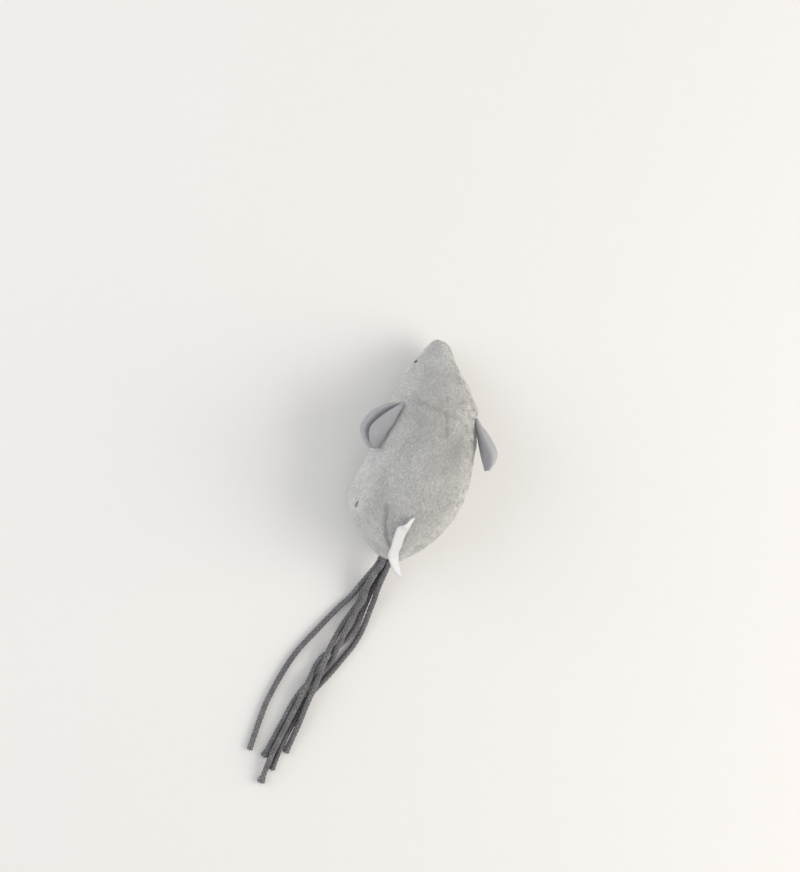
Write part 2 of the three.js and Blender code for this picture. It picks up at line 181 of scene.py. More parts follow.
def turns(count):
    """Angles spaced evenly round a circle."""
    return 2 * np.pi * np.arange(count) / count


def steps(points, axis=0):
    """The distances between neighbours along an axis."""
    return np.linalg.norm(np.diff(points, axis=axis), axis=-1)


def grid_quads(rows, columns, wrap=False):
    """The quads of a grid of rows by columns, closed round the columns if asked."""
    index = np.arange(rows * columns).reshape(rows, columns)
    if wrap:
        index = np.hstack([index, index[:, :1]])
    corners = [index[:-1, :-1], index[:-1, 1:], index[1:, 1:], index[1:, :-1]]
    return np.stack(corners, -1).reshape(-1, 4).tolist()


def closed_grid(rows, columns):
    """The faces of a grid closed round its columns, with one face at each end."""
    index = np.arange(rows * columns).reshape(rows, columns)
    return grid_quads(rows, columns, wrap=True) + [index[0, ::-1].tolist(), index[-1].tolist()]


def fan(rim, tip):
    """Triangles from each two neighbours of a rim to a tip."""
    return np.stack([rim[:-1], rim[1:], np.full(len(rim) - 1, tip)], -1).tolist()


def spike_faces(count, first):
    """The triangles of spikes, each of a foot of three points and a tip, numbered from a first point."""
    start = first + 4 * np.arange(count)[:, None, None]
    return (start + np.array([[1, 0, 3], [2, 1, 3], [0, 2, 3]])).reshape(-1, 3).tolist()


def mesh_object(name, points, faces, material=None, uv=None, values=None, normals=None, recalculate=False):
    """A new object whose mesh has these points, in mm, and faces, with a UV map, point values and shading
    directions if given."""
    mesh = bpy.data.meshes.new(name)
    mesh.from_pydata((points.reshape(-1, 3) * MM).tolist(), [], faces)
    for label, numbers in (values or {}).items():
        attribute = mesh.attributes.new(label, "FLOAT", "POINT")
        attribute.data.foreach_set("value", np.ascontiguousarray(numbers, np.float32).ravel())
    if uv is not None:
        corners = np.empty(len(mesh.loops), np.int32)
        mesh.loops.foreach_get("vertex_index", corners)
        places = uv.reshape(-1, 2)[corners].astype(np.float32)
        mesh.uv_layers.new(name="UVMap").data.foreach_set("uv", places.ravel())
    if recalculate:
        shape = bmesh.new()
        shape.from_mesh(mesh)
        bmesh.ops.recalc_face_normals(shape, faces=shape.faces)
        shape.to_mesh(mesh)
        shape.free()
    mesh.polygons.foreach_set("use_smooth", np.ones(len(mesh.polygons), bool))
    mesh.update()
    if normals is not None:
        mesh.normals_split_custom_set_from_vertices(normals.reshape(-1, 3).tolist())
    obj = bpy.data.objects.new(name, mesh)
    bpy.context.scene.collection.objects.link(obj)
    if material:
        mesh.materials.append(material)
    return obj


def thicken(obj, thickness, offset, levels):
    """A sheet made solid, inwards at an offset of -1 and both ways at 0, and rounded by levels."""
    wall = obj.modifiers.new("Thickness", "SOLIDIFY")
    wall.thickness = thickness * MM
    wall.offset = offset
    wall.use_even_offset = levels > 0
    if levels:
        soft = obj.modifiers.new("Soft edge", "SUBSURF")
        soft.levels = soft.render_levels = levels


def node(tree, kind, links=None, stops=(), **settings):
    """Adds a node. links maps an input to a value, or to the node, or node and output, that feeds it. stops
    are the places and colours of a colour ramp, in order."""
    made = tree.nodes.new("ShaderNode" + kind)
    for key, value in settings.items():
        setattr(made, key, value)
    for key, value in (links or {}).items():
        source, output = value if isinstance(value, tuple) and len(value) == 2 else (value, 0)
        if isinstance(source, bpy.types.Node):
            tree.links.new(source.outputs[output], made.inputs[key])
        else:
            made.inputs[key].default_value = value
    for index, (place, colour) in enumerate(stops):
        elements = made.color_ramp.elements
        stop = elements[index] if index < len(elements) else elements.new(place)
        stop.position = place
        stop.color = colour
    return made


# Materials

# Inputs of a Mix node, some of which share a name, and the output that gives its colour
MIX_SHARE, MIX_A, MIX_B, MIX_COLOUR_A, MIX_COLOUR_B = 0, 2, 3, 6, 7
MIXED_COLOUR = 2


def finish(name, recipe, *values, space="Object"):
    """A material whose Principled shader has the inputs that a recipe works out from these values."""
    material = bpy.data.materials.new(name)
    material.use_nodes = True
    tree = material.node_tree
    tree.nodes.clear()
    place = (node(tree, "TexCoord"), space)
    shader = node(tree, "BsdfPrincipled", recipe(tree, place, *values))
    node(tree, "OutputMaterial", {"Surface": (shader, "BSDF")})
    return material


def per_mm(size):
    """The scale of a pattern whose features have a size in mm."""
    return 1 / (size * MM)


def shade(colour, factor):
    """A colour made lighter or darker."""
    return (*(min(1.0, c * factor) for c in colour[:3]), 1.0)


def mottled(tree, place, colour, patch_mm, fleck_mm, low, high, share=0.65):
    """A colour from darker to lighter, in soft patches and in finer flecks, which have this share."""
    patches = node(tree, "TexNoise", {
        "Vector": place, "Scale": per_mm(patch_mm), "Detail": 3.0, "Roughness": 0.55})
    flecks = node(tree, "TexNoise", {
        "Vector": place, "Scale": per_mm(fleck_mm), "Detail": 2.0, "Roughness": 0.6})
    both = node(tree, "Mix", {MIX_SHARE: share, MIX_A: patches, MIX_B: flecks})
    stops = [(0.34, shade(colour, low)), (0.5, colour), (0.66, shade(colour, high))]
    return node(tree, "ValToRGB", {"Fac": both}, stops)


def plush(tree, place, colour):
    """Short polyester plush: matt fibres, each of its own tone, in brushed patches, with painted shade at the
    roots, in the folds and on top that their tip values carry. Their tips catch the light at the edges of the
    body, as sheen."""
    # Brushed patches about 5 mm across, and tufts of 0.6 mm drawn out along the nap
    nap = node(tree, "Mapping", {"Vector": place, "Scale": (1.0, 0.5, 1.0)})
    tone = mottled(tree, nap, colour, 5.0, 0.6, 0.8, 1.2, 0.6)
    # The tip value holds each fibre's own tone and the painted shade of the pile, and scales its colour
    tip = node(tree, "Attribute", attribute_name="tip")
    light = node(tree, "MapRange", {"Value": (tip, "Fac"), "To Min": 0.7, "To Max": 2.1})
    fibre = node(tree, "Mix", {MIX_SHARE: 1.0, MIX_COLOUR_A: tone, MIX_COLOUR_B: light},
                 data_type="RGBA", blend_type="MULTIPLY")
    return {"Base Color": (fibre, MIXED_COLOUR), "Roughness": 0.95, "Specular IOR Level": 0.0,
            "Sheen Weight": 0.5, "Sheen Roughness": 0.6}


def suede(tree, place, colour):
    """Brushed suede cloth: even and matt, with a nap of 0.25 mm that catches a little light at the edges."""
    tone = mottled(tree, place, colour, 3.0, 0.35, 0.92, 1.06)
    nap = node(tree, "TexNoise", {"Vector": place, "Scale": per_mm(0.25), "Detail": 2.0})
    bump = node(tree, "Bump", {"Height": nap, "Strength": 0.25, "Distance": 0.08 * MM})
    return {"Base Color": tone, "Normal": bump, "Roughness": 0.85, "Specular IOR Level": 0.2,
            "Sheen Weight": 0.35, "Sheen Roughness": 0.4}


def waxed_cord(tree, place, colour):
    """Waxed cotton cord: tight braided yarn, heathered with pale flecks where the wax rubs off, and painted
    shade in the grooves between the yarns.
    """
    braid = node(tree, "Attribute", attribute_name="braid")
    # Flecks of 0.35 mm on longer worn stretches of 3 mm
    flecks = node(tree, "TexNoise", {"Vector": place, "Scale": per_mm(0.35), "Detail": 2.0, "Roughness": 0.6})
    worn = node(tree, "TexNoise", {"Vector": place, "Scale": per_mm(3.0), "Detail": 1.0})
    speckled = node(tree, "Mix", {MIX_SHARE: 0.25, MIX_A: flecks, MIX_B: worn})
    # The braid value lightens the yarns' crests and leaves painted shade in the grooves between them
    both = node(tree, "Mix", {MIX_SHARE: 0.2, MIX_A: speckled, MIX_B: (braid, "Fac")})
    stops = [(0.34, shade(colour, 0.45)), (0.5, colour),
             (0.6, shade(colour, 1.35)), (0.7, shade(colour, 2.6))]
    tone = node(tree, "ValToRGB", {"Fac": both}, stops)
    dull = node(tree, "MapRange", {"Value": flecks, "To Min": 0.55, "To Max": 0.75})
    return {"Base Color": tone, "Roughness": dull, "Specular IOR Level": 0.35}


def satin(tree, place, colour):
    """Woven satin ribbon: floats of white yarn along its length, drawn 0.35 mm apart so that they show."""
    weave = node(tree, "TexWave", {
        "Vector": place, "Scale": 0.5 / 0.35, "Distortion": 0.6, "Detail": 1.0},
        wave_type="BANDS", bands_direction="Y")
    stops = [(0.0, shade(colour, 0.9)), (0.6, colour)]
    tone = node(tree, "ValToRGB", {"Fac": (weave, "Fac")}, stops)
    bump = node(tree, "Bump", {"Height": (weave, "Fac"), "Strength": 0.2, "Distance": 0.05 * MM})
    return {"Base Color": tone, "Normal": bump, "Roughness": 0.42, "Specular IOR Level": 0.45,
            "Sheen Weight": 0.2}


def spun_thread(tree, place, colour, roughness):
    """Spun thread: fine plies of 0.2 mm with a dull shine."""
    tone = mottled(tree, place, colour, 0.8, 0.2, 0.6, 1.5)
    plies = node(tree, "TexNoise", {"Vector": place, "Scale": per_mm(0.2)})
    bump = node(tree, "Bump", {"Height": plies, "Strength": 0.4, "Distance": 0.05 * MM})
    return {"Base Color": tone, "Normal": bump, "Roughness": roughness}


def loose_fill(tree, place, colour, patch_mm, low):
    """A loose filling, fibre or crushed leaf: dull, with deep shadows between its wisps or flakes."""
    tone = mottled(tree, place, colour, patch_mm, patch_mm / 4, low, 1.15)
    lumps = node(tree, "TexNoise", {"Vector": place, "Scale": per_mm(patch_mm), "Detail": 6.0})
    bump = node(tree, "Bump", {"Height": lumps, "Strength": 0.8, "Distance": 0.4 * MM})
    return {"Base Color": tone, "Normal": bump, "Roughness": 0.95}


def paper(tree, place, colour):
    """Smooth pale paper, with the faintest tooth."""
    tone = mottled(tree, place, colour, 30.0, 4.0, 0.995, 1.005)
    return {"Base Color": tone, "Roughness": 0.9, "Specular IOR Level": 0.1}


# The body's form

# Where the rump ends, how far before it the haunch stands, and how high the two tips lie, in mm
TAIL_END, HAUNCH_FROM_TAIL = 32.4, 23.2
NOSE_HEIGHT, TAIL_HEIGHT = 8.5, 5.8
CHIN_LENGTH, RUMP_ROUND = 18.0, 12.0
WIDEST_SHARE = 13.1 / 30.5
BELLY_CORNER = 0.77
# The two powers by which the width and the back swell from the nose to the haunch, and fall behind it
SIDE_SWELL, SIDE_FALL = (2.2, 0.73), (2.1, 0.8)
BACK_SWELL, BACK_FALL = (2.0, 0.85), (2.3, 0.75)
SNOUT_TURN, SNOUT_LENGTH = 3.0, 16.0
RUMP_LEAN, RUMP_LEAN_FROM_TAIL, RUMP_LEAN_LENGTH = 2.4, 14.2, 10.0
SEAM_HEIGHT, SEAM_NOSE_RISE, SEAM_TAIL_DROP, SEAM_BEND = 3.6, 2.6, 1.6, 16.0
# How far down from the widest line to the floor the belly seam may lie
SEAM_SHARES = (0.05, 0.98)


def nose_y():
    """Where the nose tip lies."""
    return TAIL_END - sizes().body.length


def curved(share, powers):
    """(1 - share^a)^b for two powers."""
    return (1 - share ** powers[0]) ** powers[1]


def section(along, inset=0.0):
    """Half width, top, bottom and widest height of the body at distances behind the nose, less an inset.

    Half width and top swell as (1 - (1 - s)^a)^b to the haunch and fall as (1 - s^a)^b behind it. The
    underside is flat, and rises at the chin and rump as quarter ellipses."""
    body = sizes().body
    length = body.length - 2 * inset
    haunch = body.length - HAUNCH_FROM_TAIL - inset
    inner = np.clip(along - inset, 0, length)
    front = np.clip(1 - inner / haunch, 0, 1)
    rear = np.clip((inner - haunch) / (length - haunch), 0, 1)
    tip = NOSE_HEIGHT + (TAIL_HEIGHT - NOSE_HEIGHT) * inner / length
    half = (body.width / 2 - inset) * curved(front, SIDE_SWELL) * curved(rear, SIDE_FALL)
    top = tip + (body.height - inset - tip) * curved(front, BACK_SWELL) * curved(rear, BACK_FALL)
    chin = np.clip(1 - inner / CHIN_LENGTH, 0, 1)
    rump = np.clip(1 - (length - inner) / RUMP_ROUND, 0, 1)
    low = inset + (tip - inset) * (1 - np.sqrt(1 - np.maximum(chin, rump) ** 2))
    return half, top, low, low + (top - low) * WIDEST_SHARE


def lean(y):
    """How far the snout turns and the rump leans to the left."""
    turn = np.clip(1 - (y - nose_y()) / SNOUT_LENGTH, 0, 1)
    return SNOUT_TURN * turn ** 2 + RUMP_LEAN * bell(y - TAIL_END + RUMP_LEAN_FROM_TAIL, RUMP_LEAN_LENGTH)


def body_points(along, angle, inset):
    """Points of the body: a half ellipse above its widest line and a squarer superellipse below it."""
    half, top, low, wide = section(along, inset)
    across, up = np.sin(angle), np.cos(angle)
    over = up >= 0
    x = half * np.where(over, across, np.sign(across) * np.abs(across) ** BELLY_CORNER)
    z = np.where(over, wide + (top - wide) * up, wide - (wide - low) * np.abs(up) ** BELLY_CORNER)
    y = nose_y() + along + 0 * angle
    return np.stack([x + lean(y), y, z], -1)


def seam_angle(along):
    """The angle from the back to the belly seam, from the seam's height."""
    to_nose = np.clip(1 - along / SEAM_BEND, 0, 1)
    to_tail = np.clip(1 - (sizes().body.length - along) / SEAM_BEND, 0, 1)
    height = SEAM_HEIGHT + SEAM_NOSE_RISE * to_nose ** 2 - SEAM_TAIL_DROP * to_tail ** 2
    _, _, low, wide = section(along)
    share = np.clip((wide - height) / np.maximum(wide - low, 1e-6), *SEAM_SHARES)
    return np.pi - np.arccos(share ** (1 / BELLY_CORNER))


# The plush skin

# Columns of the body's grid in each side panel and the belly, and its rows
SIDE_COLUMNS, BELLY_COLUMNS, BODY_ROWS = 36, 24, 96
# Columns of the finer grid on the two belly seams
BELLY_SEAMS = (2 * SIDE_COLUMNS, 2 * (SIDE_COLUMNS + BELLY_COLUMNS))
# The skin lies under its pile, and its rows stop short of the nose and tail
SKIN_INSET, END_GAP = 0.6, 0.02
# The back seam's turn to the left, in radians, at distances behind the nose
SEAM_BOW = ([0, 5, 12, 22, 32, 42, 50, 58, 72], [0.1, 0.15, 0.05, -0.06, -0.15, -0.17, -0.1, 0, 0])
# How far the stuffing leaves each side short of the drawn form, in mm, along the body: below 0 it bulges
LEFT_SLACK = (
    [-38.5, -37.4, -36, -33, -30, -28.3, -26, -23.4, -21, -17, -10, -4, 0, 3.4, 6.2, 9, 12, 17, 19, 21.4, 25,
     28.5, 32],
    [-0.8, -0.5, -0.1, 0, -0.1, -0.5, -0.65, -0.2, 0.45, 0.6, 0.6, 0.7, 0.9, 0.7, 0.3, 0, -0.2, -0.3, -0.1,
     0.3, 0.7, 1.1, 1.1])
RIGHT_SLACK = (
    [-38.5, -37.4, -36, -34.5, -33, -31.6, -30.3, -28.8, -27.5, -26.5, -24.8, -22.5, -20.6, -19.7, -18.9, -17,
     -13, -10.6, -8, -4, 20, 25, 29, 32],
    [-1.0, -1.1, -0.5, 0.5, 1.1, 1.05, 0.95, 0.4, -0.15, -0.35, -0.6, -1.3, -2.2, -2.0, -1.2, -0.9,
     -0.7, -0.6, -0.2, 0.1, -0.2, 0.2, 0.2, -0.2])
# The nose is pushed out a little, and its first millimetres have no seams or wrinkles
NOSE_PUSH, NOSE_PLAIN = 0.5, (2.0, 8.0)
BACK_SEAM_DEPTH, BELLY_SEAM_DEPTH, SEAM_COLUMNS = 0.22, 0.4, 1.4
# The back seam parts the pile only in places, and its pile gets this much painted shade there
PARTED, PARTED_SIZE, PARTED_PAINTED_SHADE = (-0.3, 0.6), 3.0, 0.4
# Each fold: how far it stands out, in mm, its half width, and how much painted shade its pile gets
FOLDS = {"lip": (0.2, 1.3, 0.0), "crease": (-0.4, 0.7, 0.4), "tuck": (-0.6, 0.55, 0.8),
         "dent": (-0.35, 1.8, 0.3)}
# The neck's crease runs forwards to the left, with its lip in front. It fades low down and on the right
CREASE_Y, CREASE_SLANT, LIP_AHEAD = -17.6, 1.6 / 13.0, 1.6
NECK_HEIGHT, NECK_SIDE = (10.0, 15.0), (-9.0, -3.0)
# The tuck left of the label: how far left it lies along the body, where it fades, and the dent beside it
TUCK = ([13.5, 17.2, 21.2, 24.5, 27.5], [11.6, 10.2, 8.7, 6.4, 3.1])
TUCK_HEIGHT, TUCK_FRONT, TUCK_REAR = (6.0, 9.0), (13.0, 15.5), (29.5, 27.5)
DENT_BESIDE, DENT_FRONT = 2.0, (17.0, 22.0)
# Wrinkles drawn out along the body, and finer ones: height and size in mm
DRAWN_OUT = [1, 0.6, 1]
WRINKLE, FINE_WRINKLE, WRINKLE_HEIGHT = (0.2, 7.0), (0.08, 3.2), (4.0, 9.0)
# The rump is drawn out beside the tail, under the label, and flat where the tail leaves it
RUMP_OUT, RUMP_OUT_Y, RUMP_OUT_X, RUMP_OUT_WIDTH = 0.8, (26.0, 30.5), -3.2, 2.6
RUMP_FLAT_Y, RUMP_FLAT_ROUND = 30.2, 0.9
# The skin and its fibres lie at least this high
SKIN_FLOOR, PILE_FLOOR = 0.12, 0.03
# How much painted shade the pile gets on top, where it faces up, along the body, and in random darker patches
TOP_PAINTED_SHADE = ([-38.0, -28.0, -15.0, 5.0], [0.0, 0.42, 0.5, 0.27])
TOP_SHADE_FACING, DARK_PATCHES = (0.3, 0.95), (0.12, 7.0)
# Painted shade on the pile right of the middle, along the body: below 0 it is painted lighter
RIGHT_PAINTED_SHADE = ([-22, -16.7, -12, -7, -2, 2.6, 12, 19, 25], [0, -0.4, 0, 0.45, 0.2, 0, 0.4, 0.15, 0])
RIGHT_SHADE_X, RIGHT_SHADE_WIDTH = -5.0, 3.5
# The cloth simulation runs at this scale, because cloth at toy size is too stiff
SIM_SCALE, SIM_FRAMES, PRESSURE, STIFFNESS, BENDING = 20.0, 20, 4.0, 25, 2
HELD_ROWS, MOST_MOVED = 5, 1.0


def body_grid():
    """The body's outside as rows from nose to tail, with columns that follow the three seams.

    The back seam wanders: left at the snout, right over the shoulders. Its turn fades as 1 - s^2 towards the
    belly seams."""
    gap = SKIN_INSET + END_GAP
    along = gap + (sizes().body.length - 2 * gap) * (1 - np.cos(np.linspace(0, np.pi, BODY_ROWS))) / 2
    seam = seam_angle(along)[:, None]
    share = np.arange(SIDE_COLUMNS) / SIDE_COLUMNS
    belly = seam + (2 * np.pi - 2 * seam) * np.arange(BELLY_COLUMNS) / BELLY_COLUMNS
    angle = np.hstack([seam * share, belly, 2 * np.pi - seam * (1 - share)])
    from_back = np.abs((angle + np.pi) % (2 * np.pi) - np.pi)
    bow = np.interp(along, *SEAM_BOW)[:, None] * (1 - np.minimum(1, from_back / seam) ** 2)
    return body_points(along[:, None], angle + bow, SKIN_INSET)


def stuffed(points):
    """The body swollen by its stuffing: a cloth simulation with pressure inside, its seams and ends held. It
    runs on the same grid, and no point may move more than a millimetre."""
    rows, columns = points.shape[:2]
    form = mesh_object("body_form", points * SIM_SCALE, closed_grid(rows, columns), recalculate=True)
    index = np.arange(rows * columns).reshape(rows, columns)
    seams = index[:, [0, SIDE_COLUMNS, SIDE_COLUMNS + BELLY_COLUMNS]]
    held = np.concatenate([seams.ravel(), index[:HELD_ROWS].ravel(), index[-HELD_ROWS:].ravel()])
    form.vertex_groups.new(name="sewn").add(np.unique(held).tolist(), 1.0, "REPLACE")
    cloth = form.modifiers.new("Stuffing", "CLOTH")
    settings = cloth.settings
    settings.vertex_group_mass = "sewn"
    settings.use_pressure = True
    settings.uniform_pressure_force = PRESSURE
    settings.effector_weights.gravity = 0
    settings.tension_stiffness = settings.compression_stiffness = STIFFNESS
    settings.bending_stiffness = BENDING
    cloth.point_cache.frame_start = 1
    cloth.point_cache.frame_end = SIM_FRAMES
    for step in range(1, SIM_FRAMES + 1):
        bpy.context.scene.frame_set(step)
    shaped = form.evaluated_get(bpy.context.evaluated_depsgraph_get())
    found = np.empty(rows * columns * 3, np.float32)
    shaped.data.vertices.foreach_get("co", found)
    bpy.context.scene.frame_set(1)
    bpy.data.objects.remove(form)
    moved = found.reshape(points.shape) / (SIM_SCALE * MM) - points
    size = np.linalg.norm(moved, axis=-1, keepdims=True)
    return points + moved * np.minimum(1, MOST_MOVED / np.maximum(size, 1e-9))


def grid_normals(points, wrap=False):
    """The direction out of a grid at each of its points."""
    onward = np.gradient(points, axis=0)
    if wrap:
        around = (np.roll(points, -1, 1) - np.roll(points, 1, 1)) / 2
    else:
        around = np.gradient(points, axis=1)
    return unit(np.cross(around, onward))


def midway(before, start, end, after):
    """The middle of a cubic through four evenly spaced points."""
    return (9 * (start + end) - before - after) / 16


def finer(points):
    """The grid with a new point between each two, on the cubic through their neighbours."""
    before, after, beyond = (np.roll(points, step, 1) for step in (1, -1, -2))
    points = np.stack([points, midway(before, points, after, beyond)], 2)
    points = points.reshape(points.shape[0], -1, 3)
    wide = np.concatenate([2 * points[:1] - points[1:2], points, 2 * points[-1:] - points[-2:-1]])
    rows = np.empty((2 * len(points) - 1, *points.shape[1:]))
    rows[0::2] = points
    rows[1::2] = midway(wide[:-3], wide[1:-2], wide[2:-1], wide[3:])
    return rows


def folds(x, y, z):
    """How near each point lies to each fold, from 0 to 1: the crease over the neck and its lip, and the tuck
    and dent by the label."""
    neck = smooth(*NECK_HEIGHT, z) * smooth(*NECK_SIDE, x)
    behind_crease = y - CREASE_Y + CREASE_SLANT * x
    rump = smooth(*TUCK_HEIGHT, z) * smooth(*TUCK_FRONT, y) * smooth(*TUCK_REAR, y)
    beside_tuck = x - np.interp(y, *TUCK)
    places = {
        "lip": (neck, behind_crease + LIP_AHEAD),
        "crease": (neck, behind_crease),
        "tuck": (rump, beside_tuck),
        "dent": (rump * smooth(*DENT_FRONT, y), beside_tuck + DENT_BESIDE),
    }
    return {name: area * bell(away, FOLDS[name][1]) for name, (area, away) in places.items()}


def sewn(points):
    """The sides fitted to the stuffing, the seams drawn in, the folds laid, the rump gathered on the tail and
    the belly pressed flat. Gives the grid, and the painted shade of its pile, from 0 to 1: in the parted seam
    and the folds, on top where it faces up, right of the middle, and in random darker patches."""
    x, y, z = np.moveaxis(points, -1, 0)
    half, _, _, _ = section(y - nose_y(), SKIN_INSET)
    across = (x - lean(y)) / np.maximum(half, 1.0)
    ends = smooth(*NOSE_PLAIN, y - nose_y())
    slack = np.where(across > 0, -np.interp(y, *LEFT_SLACK), np.interp(y, *RIGHT_SLACK))
    shaped = points + np.stack([slack * np.minimum(across ** 2, 1), -NOSE_PUSH * (1 - ends), 0 * y], -1)
    out = grid_normals(shaped, wrap=True)
    columns = np.arange(points.shape[1])
    back, back_again, left, right = (bell(columns - seam, SEAM_COLUMNS)
                                     for seam in (0, len(columns), *BELLY_SEAMS))
    parted = (back + back_again) * smooth(*PARTED, noise(points, PARTED_SIZE, 5)) * ends
    raised = -BACK_SEAM_DEPTH * parted - BELLY_SEAM_DEPTH * (left + right) * ends
    near = folds(x, y, z)
    raised += sum(FOLDS[name][0] * share for name, share in near.items())
    wrinkles = WRINKLE[0] * noise(points * DRAWN_OUT, WRINKLE[1], 3)
    wrinkles += FINE_WRINKLE[0] * noise(points, FINE_WRINKLE[1], 4)
    shaped += out * (raised + wrinkles * smooth(*WRINKLE_HEIGHT, z) * ends)[..., None]
    shaped[..., 1] += RUMP_OUT * smooth(*RUMP_OUT_Y, y) * bell(x - RUMP_OUT_X, RUMP_OUT_WIDTH)
    over = np.maximum(0, shaped[..., 1] - RUMP_FLAT_Y)
    shaped[..., 1] -= over - RUMP_FLAT_ROUND * np.tanh(over / RUMP_FLAT_ROUND)
    shaped[..., 2] = np.maximum(shaped[..., 2], SKIN_FLOOR)
    # Painted shade on the pile: on top where it faces up, in random patches, right of the middle, in the
    # parted seam and in the folds
    dark = smooth(*TOP_SHADE_FACING, out[..., 2]) * np.interp(y, *TOP_PAINTED_SHADE)
    dark += DARK_PATCHES[0] * noise(points * DRAWN_OUT, DARK_PATCHES[1], 6)
    dark += bell(x - RIGHT_SHADE_X, RIGHT_SHADE_WIDTH) * np.interp(y, *RIGHT_PAINTED_SHADE)
    dark += PARTED_PAINTED_SHADE * parted + sum(FOLDS[name][2] * share for name, share in near.items())
    return shaped, np.clip(dark, 0, 1)


# Fibres in each panel, their radius at the root, how deep they are rooted, and how many more stand at a seam
FIBRES = {"left_side": 56000, "belly": 26000, "right_side": 56000}
FIRST_SEED, SEED_STEP = 20, 10
FIBRE_RADIUS, FIBRE_ROOT, SEAM_FIBRES = 0.085, 0.12, 1.5
# The way the nap lies, and how much tufts of a size in mm and single fibres stray from it
NAP, SWIRL, SWIRL_SIZE, STRAY = np.array([0.0, 1.0, -0.1]), 0.6, 1.4, 0.35
# Lean, in radians, and share of the pile's length: middle, change between tufts, their size, between fibres
FIBRE_LEAN, FIBRE_LENGTH = (0.85, 0.25, 1.1, 0.18), (0.85, 0.25, 0.9, 0.12)
# Tones of the tips, how much painted shade the roots get and how deeply the painted shade map darkens the
# tips, and the tone of the bare skin, kept low as painted shade under the pile
TIP_TONES, ROOT_PAINTED_SHADE, PAINTED_SHADE_DEPTH, SKIN_SHADED_TONE = (0.42, 0.9), 0.4, 0.5, 0.2
# A fibre is shaded as the skin is, partly from above, and a little by its own roundness and lean
SHADE_ABOVE, SHADE_ROUND, SHADE_LEAN = 0.6, 0.3, 0.25


def pile(points, normals, hollow, count, seed):
    """Plush fibres: thin three-sided spikes rooted under the skin and leaning back. Gives their points,
    faces, values from root to tip, and the directions that they are shaded by.

    Roots fall at random in the grid's cells, in step with their areas, and more at a panel's edges, to hide
    the seam. A fibre leans between the direction out of the skin and the way to the tail, turned by smooth
    noise so that the pile lies in tufts. Its values carry painted shade: more at the root, and where the
    skin's painted shade lies."""
    random = np.random.default_rng(seed)
    corner = points[:-1, :-1]
    area = np.linalg.norm(np.cross(points[1:, :-1] - corner, points[:-1, 1:] - corner), axis=-1)
    edge = np.arange(area.shape[1])
    area = (area * (1 + SEAM_FIBRES * (np.minimum(edge, edge[::-1]) == 0))).ravel()
    cell = random.choice(area.size, count, p=area / area.sum())
    row, column = np.divmod(cell, len(edge))
    s, t = random.random((2, count, 1))

    def between(grid):
        """The grid's values at the roots."""
        start = grid[row, column] * (1 - t) + grid[row, column + 1] * t
        end = grid[row + 1, column] * (1 - t) + grid[row + 1, column + 1] * t
        return start * (1 - s) + end * s

    root, out, deep = between(points), unit(between(normals)), between(hollow[..., None])
    keep = may_grow(root)
    root, out, deep = root[keep], out[keep], deep[keep]

    def varied(settings, own):
        """A value of each fibre, from its settings and the seed of its tufts."""
        middle, tufts, size, single = settings
        values = middle + tufts * noise(root, size, own) + random.normal(0, single, len(root))
        return values[:, None]

    swirl = np.stack([noise(root, SWIRL_SIZE, seed + k) for k in (1, 2, 3)], -1)
    flow = NAP + SWIRL * swirl + random.normal(0, STRAY, root.shape)
    flow = unit(flow - out * (flow * out).sum(-1, keepdims=True))
    slope = varied(FIBRE_LEAN, seed + 4)
    way = out * np.cos(slope) + flow * np.sin(slope)
    long = sizes().body.pile * varied(FIBRE_LENGTH, seed + 5)
    side = unit(np.cross(way, out + 0.01))
    turn = turns(3)[:, None, None]
    ring = np.cos(turn) * side + np.sin(turn) * np.cross(side, way)
    base = root - out * FIBRE_ROOT
    spikes = np.concatenate([base + FIBRE_RADIUS * ring, (base + way * long)[None]])
    faces = spike_faces(len(root), 0)
    # Each tip's own random tone, less the painted shade where it grows; the roots get more painted shade
    # below
    tone = random.uniform(*TIP_TONES, (len(root), 1)) - PAINTED_SHADE_DEPTH * deep
    tips = tone - ROOT_PAINTED_SHADE * np.array([1, 1, 1, 0])
    raised = out + SHADE_ABOVE * UP
    shading = unit(np.concatenate([raised + SHADE_ROUND * ring, (raised + SHADE_LEAN * way)[None]]))
    return np.swapaxes(spikes, 0, 1).reshape(-1, 3), faces, tips, np.swapaxes(shading, 0, 1)


